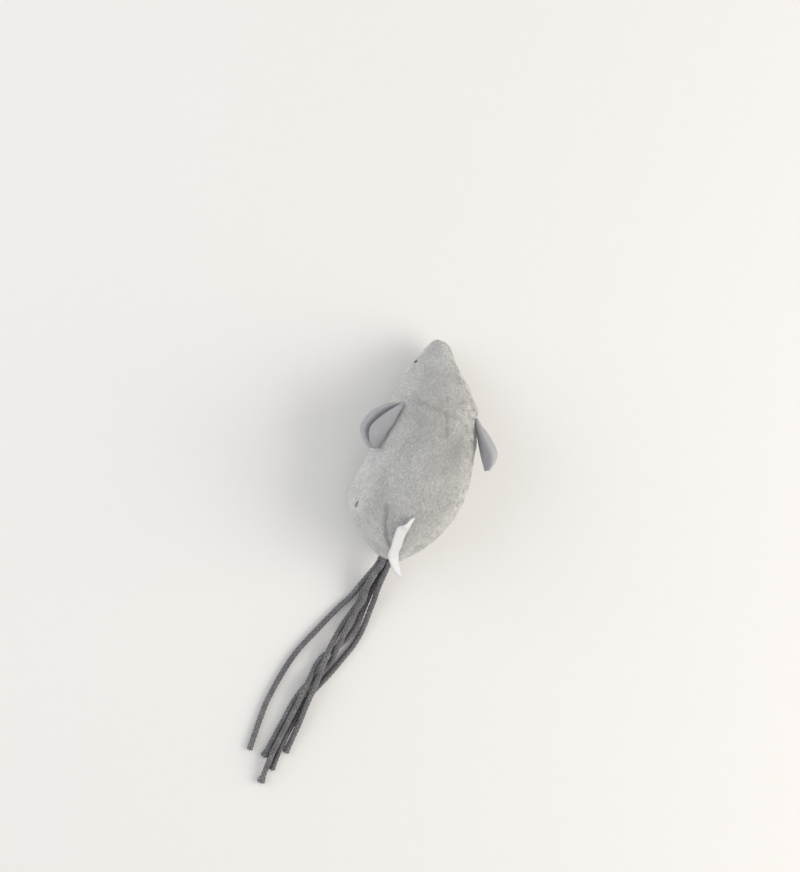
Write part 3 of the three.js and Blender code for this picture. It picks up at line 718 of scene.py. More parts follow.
# Cords: how far left, back and up each point lies from the rump's flat end, in mm, as in the part's source
CORD_START = 31.4
CORD_ROUTES = {
    "loose_tail_cord": [
        (1.2, 0, 3.9), (1.3, 1.2, 3.8), (1.7, 2.9, 3.4), (2.8, 5.9, 2.3), (4.2, 9.6, 1.35), (6.1, 13.9, 1),
        (8.9, 18.2, 0.95), (14.4, 27.6, 0.95), (18.5, 35.2, 0.95), (21.1, 42.4, 0.95), (23.6, 52.7, 0.95),
        (24.3, 59.4, 0.95), (24.9, 68.7, 0.95)],
    "tail_cord_1": [
        (0.3, 0, 6.05), (0.5, 1.2, 6), (1.2, 2.7, 5.6), (2, 4.7, 5), (2.7, 8.1, 3.8), (3.1, 11.6, 2.3),
        (3.2, 14.9, 1.4), (4.4, 18.5, 1), (6.5, 23.9, 1.1), (8.3, 28.5, 2.6), (9.2, 31.9, 3.2),
        (9.7, 37.2, 3.2), (10.2, 42.8, 3.2), (10.7, 45.8, 3.2), (11.2, 48.8, 3.1), (11.6, 52.2, 2.9),
        (11.9, 55.9, 2.6), (12.3, 59.4, 2.1), (13.2, 66.8, 0.95)],
    "tail_cord_2": [
        (1.5, 0, 8.1), (1.5, 1.2, 8.05), (1.7, 2.8, 7.7), (2.5, 4.8, 7.1), (3.2, 8, 5.95), (3.1, 11.4, 4.5),
        (2.9, 14.7, 3.6), (4, 18.2, 3.1), (5.3, 23.3, 3), (6.5, 29.8, 3.3), (6.9, 31.9, 3.15), (7, 33.7, 2.5),
        (7.1, 35.4, 1.65), (8.4, 38.7, 0.95), (10.9, 42.9, 0.95), (13.4, 46.2, 0.95), (15.1, 50.6, 0.95),
        (16.8, 57.5, 0.95), (19.7, 69.6, 0.95)],
    "tail_cord_3": [
        (-1.7, 0, 5.9), (-1.5, 1.2, 5.85), (-0.5, 3.9, 5), (0.2, 7.3, 3.6), (0.6, 10.8, 2.1),
        (0.8, 14.1, 1.2), (1.2, 17.5, 0.95), (2.4, 24.4, 0.95), (5.4, 29.8, 0.95), (9.9, 34.8, 0.95),
        (11.2, 37.4, 1.2), (12, 40.1, 1.8), (12.8, 43, 2.9), (13.5, 45.4, 3.15), (14.1, 50, 2.85),
        (15.6, 57, 2.7), (17.1, 63.9, 2.7), (18, 69, 2.5), (18.5, 77.7, 0.95)],
    "tail_cord_4": [
        (-0.7, 0, 8.1), (-0.6, 1.2, 8.05), (-0.4, 3.7, 7.45), (-0.3, 7.1, 6), (-0.4, 10.5, 4.45),
        (-0.7, 13.7, 3.15), (-0.5, 17.1, 2.5), (-0.3, 23.1, 1.25), (1.1, 28.7, 0.95), (3.6, 34.2, 0.95),
        (6.6, 40.3, 0.95), (9.7, 45.8, 0.95), (11.7, 50.6, 0.95), (13.3, 56.9, 0.95), (15, 63.4, 0.95),
        (16.1, 73.1, 0.95)],
}
# How far each cut end has opened out, as a share of the radius, and how many fibres stand out of it
CORD_ENDS = {"loose_tail_cord": (0.05, 5), "tail_cord_1": (0.2, 12), "tail_cord_2": (0.45, 26),
             "tail_cord_3": (0.5, 26), "tail_cord_4": (0.1, 8)}
# The cords draw together inside the rump, and bend from the body onto their own hinge over a length
ROOT_LENGTH, ROOT_DRAW, EXIT_INSIDE, CORD_BLEND = 2.6, 0.75, 0.4, 5.0
CORD_STEP, CORD_SIDES = 0.14, 16
# Four yarns wind each way, one turn every 6 mm, and raise the surface by a share of the radius
YARNS, YARN_TURN, YARN_RELIEF = 4, 6.0, 0.05
# Distances from the cut end: where it opens, where it is ragged and where it is rounded
OPENS, RAGGED_END, ROUNDED_END = (2.4, 0.3), 1.5, 0.35
# Depth, number and turn of the rags, and the tones of the two ends
RAGGED, RAGS, RAG_TURN, END_TONES = 0.12, 5, 1.3, [0.3, 0.35]
CORD_FLOOR, FRAY_FLOOR = 0.02, 0.05
# Frayed fibres: how far they spread and reach, how flat they lie, and the half size of their feet
FRAY_SPREAD, FRAY_FLAT, FRAY_REACH, FRAY_FOOT, FRAY_TONE = 0.55, 0.6, (0.5, 1.3), 0.1, 0.55
# Steps of the path back to their feet and to where the end's way is taken, and how their feet scatter
FRAY_BACK, FRAY_WAY, FRAY_SCATTER = 4, 8, np.array([0.4, 0.12, 0.28])
CURVE_POINTS = 3000


def curve_at(points, knots, places):
    """Points at places on a smooth curve that passes each point at its knot: a cubic between each two, with
    slopes from the neighbours."""
    points = np.asarray(points, float)
    slope = np.gradient(points, knots, axis=0)
    piece = np.clip(np.searchsorted(knots, places, side="right") - 1, 0, len(knots) - 2)
    gap = (knots[piece + 1] - knots[piece])[:, None]
    t = (places - knots[piece])[:, None] / gap
    ends = (2 * t ** 3 - 3 * t ** 2 + 1) * points[piece] + (3 * t ** 2 - 2 * t ** 3) * points[piece + 1]
    return ends + gap * ((t ** 3 - 2 * t ** 2 + t) * slope[piece] + (t ** 3 - t ** 2) * slope[piece + 1])


def smooth_path(points, step):
    """A smooth curve through points, walked in even steps. Its knots lie apart by the square root of each
    chord, so that it doesn't overshoot."""
    knots = np.append(0, np.cumsum(np.sqrt(steps(np.asarray(points, float)))))
    curve = curve_at(points, knots, np.linspace(0, knots[-1], CURVE_POINTS))
    far = np.append(0, np.cumsum(steps(curve)))
    even = np.linspace(0, far[-1], max(2, int(round(far[-1] / step)) + 1))
    return np.stack([np.interp(even, far, axis) for axis in curve.T], -1)


def closed_tube(path, radius, sides):
    """A tube's points and faces: rings round a path, with a point at each end. The radius may change along
    the path and round it, and each ring keeps one axis level."""
    way = unit(np.gradient(path, axis=0))
    side = unit(np.cross(way, UP))
    up = np.cross(side, way)
    turn = turns(sides)[None, :, None]
    radius = np.broadcast_to(radius, (len(path), sides))[..., None]
    grid = path[:, None] + radius * (np.cos(turn) * side[:, None] - np.sin(turn) * up[:, None])
    points = np.concatenate([grid.reshape(-1, 3), path[:1], path[-1:]])
    rim = np.append(np.arange(sides), 0)
    last, start = (len(path) - 1) * sides, len(path) * sides
    caps = fan(rim[::-1], start) + fan(last + rim, start + 1)
    return points, grid_quads(len(path), sides, wrap=True) + caps


def frayed(path, radius, fibres, seed):
    """Thin spikes that stand out of a cord's cut end, four points each."""
    random = np.random.default_rng(seed)
    out = unit(path[-1] - path[-FRAY_WAY])
    spread = unit(random.normal(0, 1, (fibres, 3)) * FRAY_SPREAD + out)
    spread[:, 2] = np.abs(spread[:, 2]) * FRAY_FLAT
    across = unit(np.cross(spread, [0.1, 0.2, 1.0])) * FRAY_FOOT
    other = 0.9 * np.cross(spread, across)
    reach = random.uniform(*FRAY_REACH, (fibres, 1))
    foot = path[-FRAY_BACK] + random.normal(0, radius, (fibres, 3)) * FRAY_SCATTER
    corners = [foot + across, foot - across / 2 - other, foot - across / 2 + other, foot + spread * reach]
    spikes = np.stack(corners, 1)
    spikes[..., 2] = np.maximum(spikes[..., 2], FRAY_FLOOR)
    return spikes.reshape(-1, 3)


def braided_cord(name, route, material):
    """A cord and its path: a tube whose radius rises and falls as two sets of yarns cross, opening out at its
    cut end, which is rounded, ragged and frayed."""
    radius = sizes().tail.diameter / 2
    flare, fibres = CORD_ENDS[name]
    root = np.array(route[0]) * [ROOT_DRAW, 1, 1] - ROOT_LENGTH * TO_TAIL
    path = smooth_path(np.vstack([root, route]) + CORD_START * TO_TAIL, CORD_STEP)
    length = steps(path).sum()
    walk = np.linspace(0, length, len(path))[:, None]
    turn = turns(CORD_SIDES)[None]
    one, two = (np.sin(YARNS * (turn + way * 2 * np.pi * walk / YARN_TURN)) for way in (1, -1))
    braid = np.maximum(one, two)
    opened = 1 + flare * smooth(length - OPENS[0], length - OPENS[1], walk)
    into_end = np.clip(walk - length + ROUNDED_END, 0, ROUNDED_END) / (ROUNDED_END + 0.01)
    rounded = np.sqrt(np.clip(1 - into_end ** 2, 0.1, 1))
    ragged = 1 + RAGGED * flare * np.sin(RAGS * turn + RAG_TURN) * smooth(length - RAGGED_END, length, walk)
    size = radius * (1 - YARN_RELIEF + YARN_RELIEF * braid) * opened * rounded * ragged
    tube, faces = closed_tube(path, size, CORD_SIDES)
    tube[:, 2] = np.maximum(tube[:, 2], CORD_FLOOR)
    spikes = frayed(path, radius, fibres, len(route) + fibres)
    faces += spike_faces(fibres, len(tube))
    # Tones: the braid value, high on the yarns' crests, for painted shade in the grooves; the two ends; the
    # frayed fibres
    tones = np.concatenate([(0.5 + 0.5 * braid).ravel(), END_TONES, np.full(len(spikes), FRAY_TONE)])
    points = np.concatenate([tube, spikes])
    return mesh_object(name + "_braid", points, faces, material, values={"braid": tones}), path


# Each ear's cloth is folded along a spine: its far rim, spine and near rim from root to tip, in mm
EAR_CURVES = {
    "left_ear": (
        [(11.7, -17.2, 16.0), (15.8, -16.1, 18.3), (18.9, -14.1, 18.3), (21.6, -11.8, 18.3),
         (23.1, -9.2, 18.5), (23.7, -6.9, 18.6), (23.3, -5.0, 18.6), (22.3, -3.4, 18.7), (20.7, -1.9, 18.7),
         (18.8, -0.8, 18.3)],
        [(11.6, -17.0, 16.4), (12.8, -15.0, 18.2), (13.6, -12.8, 18.8), (14.1, -10.5, 18.8),
         (14.8, -8.5, 18.7), (15.3, -6.6, 18.5), (15.8, -4.7, 18.1), (16.1, -3.2, 17.7), (16.3, -2.0, 17.3),
         (16.4, -1.1, 17.0)],
        [(12.1, -17.1, 17.3), (14.6, -15.1, 18.8), (16.6, -13.2, 19.0), (18.3, -11.2, 18.9),
         (19.7, -9.3, 18.9), (20.7, -7.5, 19.1), (20.9, -5.8, 19.4), (20.3, -4.0, 19.6), (19.3, -2.4, 19.3),
         (17.8, -1.2, 18.6)]),
    "right_ear": (
        [(-13.4, -18.5, 14.6), (-15.4, -16.5, 15.1), (-17.7, -14.9, 15.6), (-20.0, -12.6, 16.4),
         (-21.7, -10.5, 17.0), (-22.2, -8.9, 17.4), (-21.9, -6.8, 17.7), (-20.6, -3.9, 18.1)],
        [(-13.1, -18.3, 15.2), (-14.1, -16.0, 15.6), (-15.2, -13.4, 16.0), (-16.4, -10.5, 16.4),
         (-17.4, -8.2, 17.0), (-18.3, -6.3, 17.6), (-19.1, -4.8, 18.2), (-19.6, -3.4, 18.7)],
        [(-12.9, -18.4, 16.0), (-14.6, -16.3, 17.5), (-16.7, -14.6, 18.5), (-18.9, -12.4, 19.5),
         (-20.5, -10.3, 20.1), (-21.0, -8.8, 20.3), (-20.9, -6.9, 20.1), (-19.9, -3.8, 19.5)]),
}
EAR_LENGTH = 18.3
# How far the leaves swell apart, below and above, and where the upper one is highest, at the root and tip
EAR_SWELL = {"left_ear": (1.6, 0.6, (0.5, 0.5)), "right_ear": (0.3, 4.2, (0.15, 0.84))}
# The part of a half sine that the swell follows, and the way it goes
EAR_SINE, EAR_OUT = (0.08, 0.72), [0.31, 0.0, 0.95]
# Where the lower leaf turns flat, and where and how much the upper one's ridge sinks, as shares of length
LOWER_FLAT, RIDGE_SINKS, RIDGE_SUNK = (0.95, 0.6), (0.6, 1.0), 0.8
EAR_ROWS, EAR_COLUMNS, EAR_STEP, EAR_BLEND = 34, 31, 0.05, 4.5


def curve_through(points, count):
    """A few points of a smooth curve through others, spaced evenly along it."""
    path = smooth_path(points, EAR_STEP)
    return path[np.linspace(0, len(path) - 1, count).round().astype(int)]


def ear_leaf(name):
    """The ear's middle surface: each row runs from the far rim under to the spine, and over to the near rim.

    A row is a smooth curve through the far rim, the lower leaf's middle, the spine, the upper leaf's crest
    and the near rim, with straight runs beside the crest. The leaves swell apart by a half sine along the
    ear, and the lower one lies flat at the tip."""
    far, spine, near = (curve_through(points, EAR_ROWS) for points in EAR_CURVES[name])
    walk = np.linspace(0, 1, EAR_ROWS)[:, None]
    under, over, crest = EAR_SWELL[name]
    swell = np.sin(np.pi * (EAR_SINE[0] + EAR_SINE[1] * walk)) * EAR_OUT
    lower = (far + spine) / 2 - under * swell * smooth(*LOWER_FLAT, walk)
    ridge = over * swell * (1 - RIDGE_SUNK * smooth(*RIDGE_SINKS, walk))
    upper = spine + (near - spine) * (crest[0] + (crest[1] - crest[0]) * walk) + ridge
    points = np.stack([far, lower, spine, (spine + upper) / 2, upper, (upper + near) / 2, near], 1)
    leaf = np.stack([curve_through(row, EAR_COLUMNS) for row in points])
    return spine[0] + (leaf - spine[0]) * sizes().trim.ear_length / EAR_LENGTH


# The label's sewn edge, from the top of the back seam to its free end over the tail, and its folded edge
LABEL_SEWN = [
    (2.1, 15.9, 28.3), (2.1, 17.4, 27.5), (2.1, 18.9, 26.5), (2.1, 20.1, 25.7), (2.0, 21.2, 24.8),
    (1.9, 22.4, 23.8), (1.6, 23.9, 22.3), (0.9, 25.9, 20.1), (0.6, 27.9, 17.9), (-0.3, 29.5, 16.4),
    (-1.1, 31.2, 15.5), (-2.1, 32.7, 14.8), (-3.1, 34.3, 14.2), (-3.7, 35.1, 13.9)]
LABEL_FOLD = [
    (2.5, 16.1, 29.0), (3.8, 17.1, 30.0), (4.6, 18.3, 31.1), (5.6, 19.4, 31.8), (7.2, 20.3, 31.5),
    (7.1, 22.1, 29.7), (6.3, 24.3, 26.7), (5.4, 26.6, 23.7), (4.9, 28.3, 21.1), (4.0, 30.1, 18.9),
    (2.5, 31.8, 17.5), (0.8, 33.4, 16.3), (-1.1, 34.8, 15.3), (-3.1, 35.4, 14.4)]
LABEL_ROWS, LABEL_COLUMNS = 66, 29
LABEL_CUT, LABEL_CLOTH = (11.0, 24.0), 0.16
# Half the gap between the leaves, and the height, turns and slant of the ribbon's waves
LABEL_HALF_GAP, LABEL_WAVE, LABEL_WAVES, LABEL_SLANT = 0.3, 0.25, 8, 2.2
LABEL_EASE = 1.15


def label_ribbon():
    """A ribbon folded in half, and its UV map in mm.

    Each row runs from the sewn edge to the fold and back. The leaves part by up to 0.6 mm, as the square root
    of 1 - |2s - 1|^3 does, and wave a little as a sine."""
    knots = np.arange(len(LABEL_SEWN), dtype=float)
    pairs = np.linspace(0, knots[-1], LABEL_ROWS)
    sewn_edge, fold = (curve_at(points, knots, pairs)[:, None] for points in (LABEL_SEWN, LABEL_FOLD))
    walk = np.linspace(0, 2, LABEL_COLUMNS)[None, :, None]
    reach = 1 - np.abs(1 - walk) ** LABEL_EASE
    out = grid_normals(sewn_edge + (fold - sewn_edge) * walk / 2)
    down = np.linspace(0, 1, LABEL_ROWS)[:, None, None]
    side = np.sign(1 - walk) * np.sqrt(np.clip(1 - np.abs(2 * reach - 1) ** 3, 0, 1))
    wave = LABEL_WAVE * np.sin(LABEL_WAVES * down + LABEL_SLANT * reach) * reach
    uv = np.stack(np.broadcast_arrays(walk[..., 0] * LABEL_CUT[0] / 2, down[..., 0] * LABEL_CUT[1]), -1)
    return sewn_edge + (fold - sewn_edge) * reach + out * (LABEL_HALF_GAP * side + wave), uv


# Building steps

def ride_on(obj, body, slot, *nodes):
    """The piece moves with a body and stands for these solids. The slot is not used."""
    if nodes:
        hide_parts(*nodes)
    if body:
        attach(obj, body)


def mesh_points(name):
    """A piece's points, in mm, and the directions out of it."""
    vertices = bpy.data.objects[name].data.vertices
    points, normals = np.empty((2, len(vertices) * 3), np.float32)
    vertices.foreach_get("co", points)
    vertices.foreach_get("normal", normals)
    return points.reshape(-1, 3) / MM, normals.reshape(-1, 3)


def node_box(name):
    """The middle of a CAD node and half its size, in mm."""
    low, high = (np.array(corner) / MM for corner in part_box(name))
    return (low + high) / 2, (high - low) / 2


# The tail's root lies at this pixel of the picture, which has this many pixels to the millimetre
IMAGE_SIZE, TAIL_PIXEL, PIXELS_PER_MM = np.array([800, 872]), np.array([387, 558]), 3.2
TAIL_ROOT = np.array([0.0, 31.0, 6.5])
CAMERA_DISTANCE, CAMERA_CLIP, SENSOR = 1300.0, (0.05, 20.0), 36.0
# Each lamp: how far right, up and near the viewer it stands in the picture, its power in watts, and its tint
LAMPS = {"Key": ((1.0, -0.2, 0.18), 6.7, "#fff6ec"), "Fill": ((-1.0, 0.3, 0.9), 3.8, "#f7f9ff")}
LAMP_DISTANCE, LAMP_SIZE = 0.9, 0.8
ROOM_LIGHT, ROOM_TINT, BACKDROP_TINT = 0.6, "#ffffff", "#fbfaf8"
FLOOR_HALF, FLOOR_POINTS = 3000, 9


def picture_axes(stage):
    """The picture's right, up and the way to the viewer, with the nose up and right."""
    tilt, roll = math.pi / 2 - stage.elevation, stage.roll
    across = np.array([-math.cos(tilt), 0.0, math.sin(tilt)])
    right = math.cos(roll) * across - math.sin(roll) * TO_TAIL
    up = -math.sin(roll) * across - math.cos(roll) * TO_TAIL
    return np.stack([right, up, np.cross(right, up)])


def add_camera(scene, axes, aim):
    """A camera far off with a long lens, as the photo has hardly any perspective."""
    lens = bpy.data.cameras.new("Camera")
    lens.sensor_fit = "HORIZONTAL"
    lens.sensor_width = SENSOR
    lens.lens = SENSOR * CAMERA_DISTANCE / (IMAGE_SIZE[0] / PIXELS_PER_MM)
    lens.clip_start, lens.clip_end = CAMERA_CLIP
    camera = bpy.data.objects.new("Camera", lens)
    place = np.eye(4)
    place[:3, :3] = axes.T
    place[:3, 3] = (aim + axes[2] * CAMERA_DISTANCE) * MM
    camera.matrix_world = Matrix(place.tolist())
    scene.collection.objects.link(camera)
    scene.camera = camera


def add_lamps(scene, axes, aim):
    """Square lamps that face the mouse."""
    for name, (way, power, tint) in LAMPS.items():
        lamp = bpy.data.lights.new(name, "AREA")
        lamp.size, lamp.energy, lamp.color = LAMP_SIZE, power, linear(tint)[:3]
        light = bpy.data.objects.new(name, lamp)
        out = Vector(unit(way @ axes)) * LAMP_DISTANCE
        light.location = Vector(aim * MM) + out
        light.rotation_euler = out.to_track_quat("Z", "Y").to_euler()
        scene.collection.objects.link(light)


def add_room(scene):
    """Even white light all round, and a white room where the camera or a reflection looks into it."""
    world = bpy.data.worlds.new("Studio")
    world.use_nodes = True
    tree = world.node_tree
    tree.nodes.clear()
    path = node(tree, "LightPath")
    seen = (path, "Is Camera Ray")
    for ray in ("Is Glossy Ray", "Is Transmission Ray"):
        seen = node(tree, "Math", {0: seen, 1: (path, ray)}, operation="MAXIMUM")
    plain = node(tree, "Background", {"Color": linear(ROOM_TINT), "Strength": ROOM_LIGHT})
    white = node(tree, "Background", {"Color": linear(BACKDROP_TINT), "Strength": 1.0})
    both = node(tree, "MixShader", {0: seen, 1: plain, 2: white})
    node(tree, "OutputWorld", {"Surface": both})
    scene.world = world


class MOUSE_OT_stage(bpy.types.Operator):
    """Set the camera, the pale floor and soft studio light"""
    bl_idname = "catnip_mouse.stage"
    bl_label = "Stage"

    def execute(self, context):
        stage = sizes().stage
        context.scene.view_settings.view_transform = "Standard"
        axes = picture_axes(stage)
        across, down = (IMAGE_SIZE / 2 - TAIL_PIXEL) / PIXELS_PER_MM
        aim = TAIL_ROOT + axes[0] * across - axes[1] * down
        add_camera(context.scene, axes, aim)
        add_lamps(context.scene, axes, aim)
        add_room(context.scene)
        line = np.linspace(-FLOOR_HALF, FLOOR_HALF, FLOOR_POINTS)
        x, y = np.meshgrid(line, line)
        floor = mesh_object("Floor", np.stack([x, y, 0 * x], -1), grid_quads(FLOOR_POINTS, FLOOR_POINTS),
                            finish("Pale paper", paper, tuple(stage.floor)))
        return {"FINISHED"}


class MOUSE_OT_tail(bpy.types.Operator):
    """Braid the five cords of the tail and lay them on the floor"""
    bl_idname = "catnip_mouse.tail"
    bl_label = "Tail cords"

    def execute(self, context):
        waxed = finish("Waxed cotton cord", waxed_cord, tuple(sizes().tail.cord))
        for name, route in CORD_ROUTES.items():
            cord, path = braided_cord(name, route, waxed)
            ride_on(cord, None, "cord", name)
            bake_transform(cord)
        return {"FINISHED"}


# Where no fibre grows: round an eye, which sits above its solid, round the stitch, and among the cords
EYE_RISE, EYE_CLEAR = 1.0, 1.15
STITCH_CLEAR, STITCH_LONG = 0.6, [1, 0.45, 1]
TAIL_CLEAR_Y, TAIL_CLEAR_X, TAIL_CLEAR_WIDTH, TAIL_CLEAR_HEIGHT = 30.4, 0.2, 2.6, 9.5
PLUSH_CLOTH = 1.0


def may_grow(root):
    """Whether a fibre may grow at each place: not on an eye, under the stitch or among the cords."""
    eyes = np.array([node_box(name)[0] for name in ("left_eye", "right_eye")]) + EYE_RISE * UP
    near_eye = np.linalg.norm(root[:, None] - eyes, axis=-1).min(1) < EYE_CLEAR
    from_stitch = (root - node_box("flank_stitch")[0]) * STITCH_LONG
    near_stitch = np.linalg.norm(from_stitch, axis=-1) < STITCH_CLEAR
    x, y, z = root.T
    at_tail = (y > TAIL_CLEAR_Y) & (np.abs(x - TAIL_CLEAR_X) < TAIL_CLEAR_WIDTH) & (z < TAIL_CLEAR_HEIGHT)
    return ~(near_eye | near_stitch | at_tail)


class MOUSE_OT_body(bpy.types.Operator):
    """Sew the plush panels, stuff the body and raise its pile"""
    bl_idname = "catnip_mouse.body"
    bl_label = "Plush body"

    def execute(self, context):
        points = body_grid()
        points = stuffed(points)
        # The grid, and the painted shade of its pile, which its skin and fibres take as darker tones
        points, hollow = sewn(finer(points))
        normals = grid_normals(points, wrap=True)
        grids = [np.concatenate([grid, grid[:, :1]], 1) for grid in (points, normals, hollow)]
        poles = np.stack([points[0].mean(0), points[-1].mean(0)])
        soft = finish("Short polyester plush", plush, tuple(sizes().body.plush))
        edges = (0, *BELLY_SEAMS, points.shape[1])
        for panel, (name, count) in enumerate(FIBRES.items()):
            part, out, deep = (grid[:, edges[panel]:edges[panel + 1] + 1] for grid in grids)
            rows, columns = part.shape[:2]
            # A fan of triangles closes each end of the panel on the pole that the three share
            rim, total = np.arange(columns), rows * columns
            fans = fan(rim[::-1], total) + fan(total - columns + rim, total + 1)
            # The bare skin keeps a low tone as painted shade under the pile, lower still under the pile's
            # painted shade
            tones = np.append(SKIN_SHADED_TONE - SKIN_SHADED_TONE * deep, [SKIN_SHADED_TONE, SKIN_SHADED_TONE])
            cloth = mesh_object(name + "_plush", np.concatenate([part.reshape(-1, 3), poles]),
                                grid_quads(rows, columns) + fans, soft, values={"tip": tones})
            thicken(cloth, PLUSH_CLOTH, -1, 0)
            ride_on(cloth, BODY, "plush", name + "_panel")
            seed = FIRST_SEED + SEED_STEP * panel
            vertices, faces, tips, shading = pile(part, out, deep, count, seed)
            vertices[:, 2] = np.maximum(vertices[:, 2], PILE_FLOOR)
            fibres = mesh_object(name + "_pile", vertices, faces, soft, values={"tip": tips},
                                 normals=shading)
            fibres.visible_shadow = fibres.visible_diffuse = False
            ride_on(fibres, BODY, "plush")
        return {"FINISHED"}


# The stuffing lies inside the skin, stops short of the tail, and is lumpy: depth and size of its lumps
FILL_ROWS, FILL_COLUMNS, FILL_END = 60, 56, 0.02
FILL_INSET, FILL_SHORT, FILL_LUMP, FILL_LUMP_SIZE = 2.3, 2.6, 0.25, 4.0
# The catnip's size and the depth and size of its lumps, as shares of its solid, and the gap in its pocket
WAD_SIZE, WAD_LUMP, WAD_LUMP_SIZE, POCKET_GAP = 0.93, 0.06, 0.3, 0.3
# The seam threads: where they start and stop, how deep they lie, their stitches and their plies
THREAD_ENDS, THREAD_POINTS, THREAD_INSET, THREAD_SIDES = (7.0, 10.0), 240, 1.75, 8
STITCH_LENGTH, STITCH_SWING = 2.5, 0.15
THREAD_RADIUS, PLY_RELIEF, PLY_LENGTH = 0.2, 0.04, 0.8


class MOUSE_OT_filling(bpy.types.Operator):
    """Fill the body with fibre and catnip and run its seam threads"""
    bl_idname = "catnip_mouse.filling"
    bl_label = "Filling and seams"

    def execute(self, context):
        self.fill()
        self.sew()
        return {"FINISHED"}

    @staticmethod
    def fill():
        """The stuffing, hollow where the wad of catnip lies."""
        turn = np.linspace(FILL_END, np.pi - FILL_END, FILL_ROWS)[:, None]
        around = turns(FILL_COLUMNS)[None]
        length = sizes().body.length - 2 * FILL_INSET - FILL_SHORT
        outer = body_points(FILL_INSET + length * (1 - np.cos(turn)) / 2, around, FILL_INSET)
        lumps = FILL_LUMP + FILL_LUMP * noise(outer, FILL_LUMP_SIZE, 8)
        outer -= grid_normals(outer, wrap=True) * lumps[..., None]
        middle, half = node_box("catnip")
        ball = np.stack([np.sin(turn) * np.sin(around), -np.cos(turn) + 0 * around,
                         np.sin(turn) * np.cos(around)], -1)
        wad = middle + ball * half * (WAD_SIZE + WAD_LUMP * noise(ball, WAD_LUMP_SIZE, 9))[..., None]
        pocket = middle + ball * (half + POCKET_GAP)
        shell = closed_grid(FILL_ROWS, FILL_COLUMNS)
        inside = [[v + FILL_ROWS * FILL_COLUMNS for v in face[::-1]] for face in shell]
        fibre = finish("Polyester fibre fill", loose_fill, linear("#efeeea"), 2.5, 0.8)
        stuffing = mesh_object("stuffing_fibre", np.concatenate([outer, pocket]), shell + inside, fibre)
        ride_on(stuffing, BODY, "stuffing", "stuffing")
        leaf = finish("Crushed catnip leaf", loose_fill, linear("#7d8558"), 1.2, 0.5)
        ride_on(mesh_object("catnip_wad", wad, shell, leaf), BODY, "catnip", "catnip")

    @staticmethod
    def sew():
        """The three seam threads, which swing to each side of the seam with their stitches."""
        spun = finish("Spun sewing thread", spun_thread, linear("#8d8d8c"), 0.7)
        along = np.linspace(THREAD_ENDS[0], sizes().body.length - THREAD_ENDS[1], THREAD_POINTS)
        radius = THREAD_RADIUS + PLY_RELIEF * np.sin(2 * np.pi * along / PLY_LENGTH)[:, None]
        seam = seam_angle(along)
        for name, side in {"back": 0, "left_belly": 1, "right_belly": -1}.items():
            path = body_points(along, side * seam, THREAD_INSET)
            path[:, 0] += STITCH_SWING * np.sin(2 * np.pi * along / STITCH_LENGTH)
            points, faces = closed_tube(path, radius, THREAD_SIDES)
            thread = name + "_seam_thread"
            ride_on(mesh_object(thread + "_ply", points, faces, spun), BODY, "sewing_thread", thread)


# An eye: how far up and forwards it slants, half width, half length, height over and under the skin, lift
EYE_SLANT, EYE_WIDTH, EYE_LENGTH, EYE_OVER, EYE_UNDER, EYE_LIFT = (0.81, 0.58), 0.42, 1.0, 0.4, 0.5, 0.15
EYE_ROWS, EYE_COLUMNS, EYE_END = 22, 44, 0.03
# Its threads: how high they stand and how far apart
EYE_RIDGE, EYE_THREAD = 0.07, 0.28
# The stitch: slant down to the back, half length, height in the middle and how far its ends dip
DASH_SLANT, DASH_LENGTH, DASH_HEIGHT, DASH_DIP = 0.72, 1.35, 0.6, 0.35
DASH_RADIUS, DASH_TWIST, DASH_POINTS, DASH_SIDES = 0.14, 0.02, 40, 12
DASH_PLIES, DASH_TURN = 3, 9


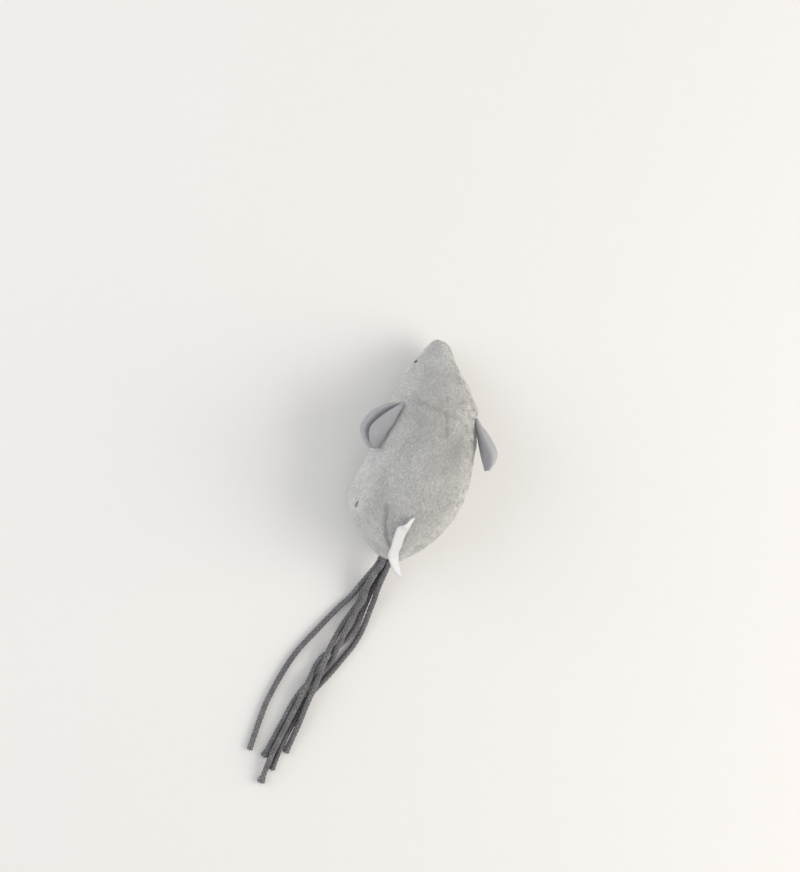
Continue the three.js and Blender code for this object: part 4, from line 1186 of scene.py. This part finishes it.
class MOUSE_OT_face(bpy.types.Operator):
    """Embroider the eyes and put the dark stitch in the flank"""
    bl_idname = "catnip_mouse.face"
    bl_label = "Eyes and stitch"

    def execute(self, context):
        black = finish("Black embroidery thread", spun_thread, tuple(sizes().trim.dark), 0.4)
        for side in ("left", "right"):
            name = side + "_eye"
            points = self.eye(side + "_side_plush", node_box(name)[0] + EYE_RISE * UP)
            faces = closed_grid(EYE_ROWS, EYE_COLUMNS)
            eye = mesh_object(name + "_thread", points, faces, black, recalculate=True)
            ride_on(eye, BODY, "embroidery_thread", name)
        points, faces = self.dash("left_side_plush", node_box("flank_stitch")[0])
        stitch = mesh_object("flank_stitch_thread", points, faces, black)
        ride_on(stitch, BODY, "embroidery_thread", "flank_stitch")
        return {"FINISHED"}

    @staticmethod
    def place(panel, target):
        """The skin's point nearest to a target, with the ways to the tail, upwards and out there."""
        points, normals = mesh_points(panel)
        nearest = np.linalg.norm(points - target, axis=1).argmin()
        out = unit(normals[nearest].astype(float))
        back = unit(TO_TAIL - out * out[1])
        up = np.cross(out, back)
        return points[nearest].astype(float), back, up * np.sign(up[2]), out

    def eye(self, panel, target):
        """A lens with threads across it: half an ellipsoid over the skin and half under it."""
        point, back, up, out = self.place(panel, target)
        long = unit(EYE_SLANT[0] * up - EYE_SLANT[1] * back)
        turn = np.linspace(EYE_END, np.pi - EYE_END, EYE_ROWS)[:, None, None]
        around = turns(EYE_COLUMNS)[None, :, None]
        x = EYE_WIDTH * np.sin(turn) * np.cos(around)
        y = EYE_LENGTH * np.sin(turn) * np.sin(around)
        height = np.where(turn < np.pi / 2, EYE_OVER, EYE_UNDER) * np.cos(turn) + EYE_LIFT
        ridge = EYE_RIDGE * np.cos(2 * np.pi * x / EYE_THREAD) * np.clip(np.cos(turn), 0, 1)
        return point + x * np.cross(out, long) + y * long + (height + ridge) * out

    def dash(self, panel, target):
        """One twisted stitch, arched over the pile. It thins to its ends as the square root of 1.05 - s^6."""
        point, back, up, out = self.place(panel, target)
        walk = np.linspace(-1, 1, DASH_POINTS)[:, None]
        along = unit(back - DASH_SLANT * up)
        path = point + along * walk * DASH_LENGTH + out * (DASH_HEIGHT - DASH_DIP * walk ** 2)
        twist = np.sin(DASH_PLIES * turns(DASH_SIDES)[None] + DASH_TURN * walk)
        return closed_tube(path, (DASH_RADIUS + DASH_TWIST * twist) * np.sqrt(1.05 - walk ** 6), DASH_SIDES)


class MOUSE_OT_ears(bpy.types.Operator):
    """Cut, fold and sew on the suede ears"""
    bl_idname = "catnip_mouse.ears"
    bl_label = "Ears"

    def execute(self, context):
        trim = sizes().trim
        brushed = finish("Brushed suede cloth", suede, tuple(trim.suede))
        for name in EAR_CURVES:
            leaf = ear_leaf(name)
            ear = mesh_object(name + "_suede", leaf, grid_quads(EAR_ROWS, EAR_COLUMNS), brushed)
            thicken(ear, trim.ear_cloth, 0, 1)
            ride_on(ear, None, "suede_cloth", name)
            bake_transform(ear)
        return {"FINISHED"}


class MOUSE_OT_label(bpy.types.Operator):
    """Fold the blank satin label and sew it into the back seam"""
    bl_idname = "catnip_mouse.label"
    bl_label = "Label"

    def execute(self, context):
        white = finish("White satin ribbon", satin, tuple(sizes().trim.satin), space="UV")
        points, uv = label_ribbon()
        label = mesh_object("seam_label_satin", points, grid_quads(LABEL_ROWS, LABEL_COLUMNS), white, uv=uv)
        thicken(label, LABEL_CLOTH, 0, 1)
        ride_on(label, "label", "satin", "seam_label")
        return {"FINISHED"}


class MOUSE_PT_panel(bpy.types.Panel):
    """The mouse's sizes and building steps"""
    bl_idname = "MOUSE_PT_panel"
    bl_label = "Catnip Mouse"
    bl_space_type = "VIEW_3D"
    bl_region_type = "UI"
    bl_category = "Catnip Mouse"

    def draw(self, context):
        settings = context.scene.catnip_mouse
        for group in (settings.body, settings.trim, settings.tail, settings.stage):
            box = self.layout.box()
            for name in group.bl_rna.properties.keys():
                if name not in ("rna_type", "name"):
                    box.prop(group, name)
        for step in STEPS:
            self.layout.operator(step.bl_idname)


STEPS = (MOUSE_OT_stage, MOUSE_OT_tail, MOUSE_OT_body, MOUSE_OT_filling, MOUSE_OT_face, MOUSE_OT_ears,
         MOUSE_OT_label)
CLASSES = (MouseBody, MouseTrim, MouseTail, MouseStage, MouseSettings, *STEPS, MOUSE_PT_panel)


def register():
    for item in CLASSES:
        bpy.utils.register_class(item)
    bpy.types.Scene.catnip_mouse = bpy.props.PointerProperty(type=MouseSettings)


def unregister():
    del bpy.types.Scene.catnip_mouse
    for item in reversed(CLASSES):
        bpy.utils.unregister_class(item)


def main():
    """Build the mouse step by step."""
    register()
    for step in STEPS:
        group, name = step.bl_idname.split(".")
        getattr(getattr(bpy.ops, group), name)()


if __name__ == "__main__":
    main()
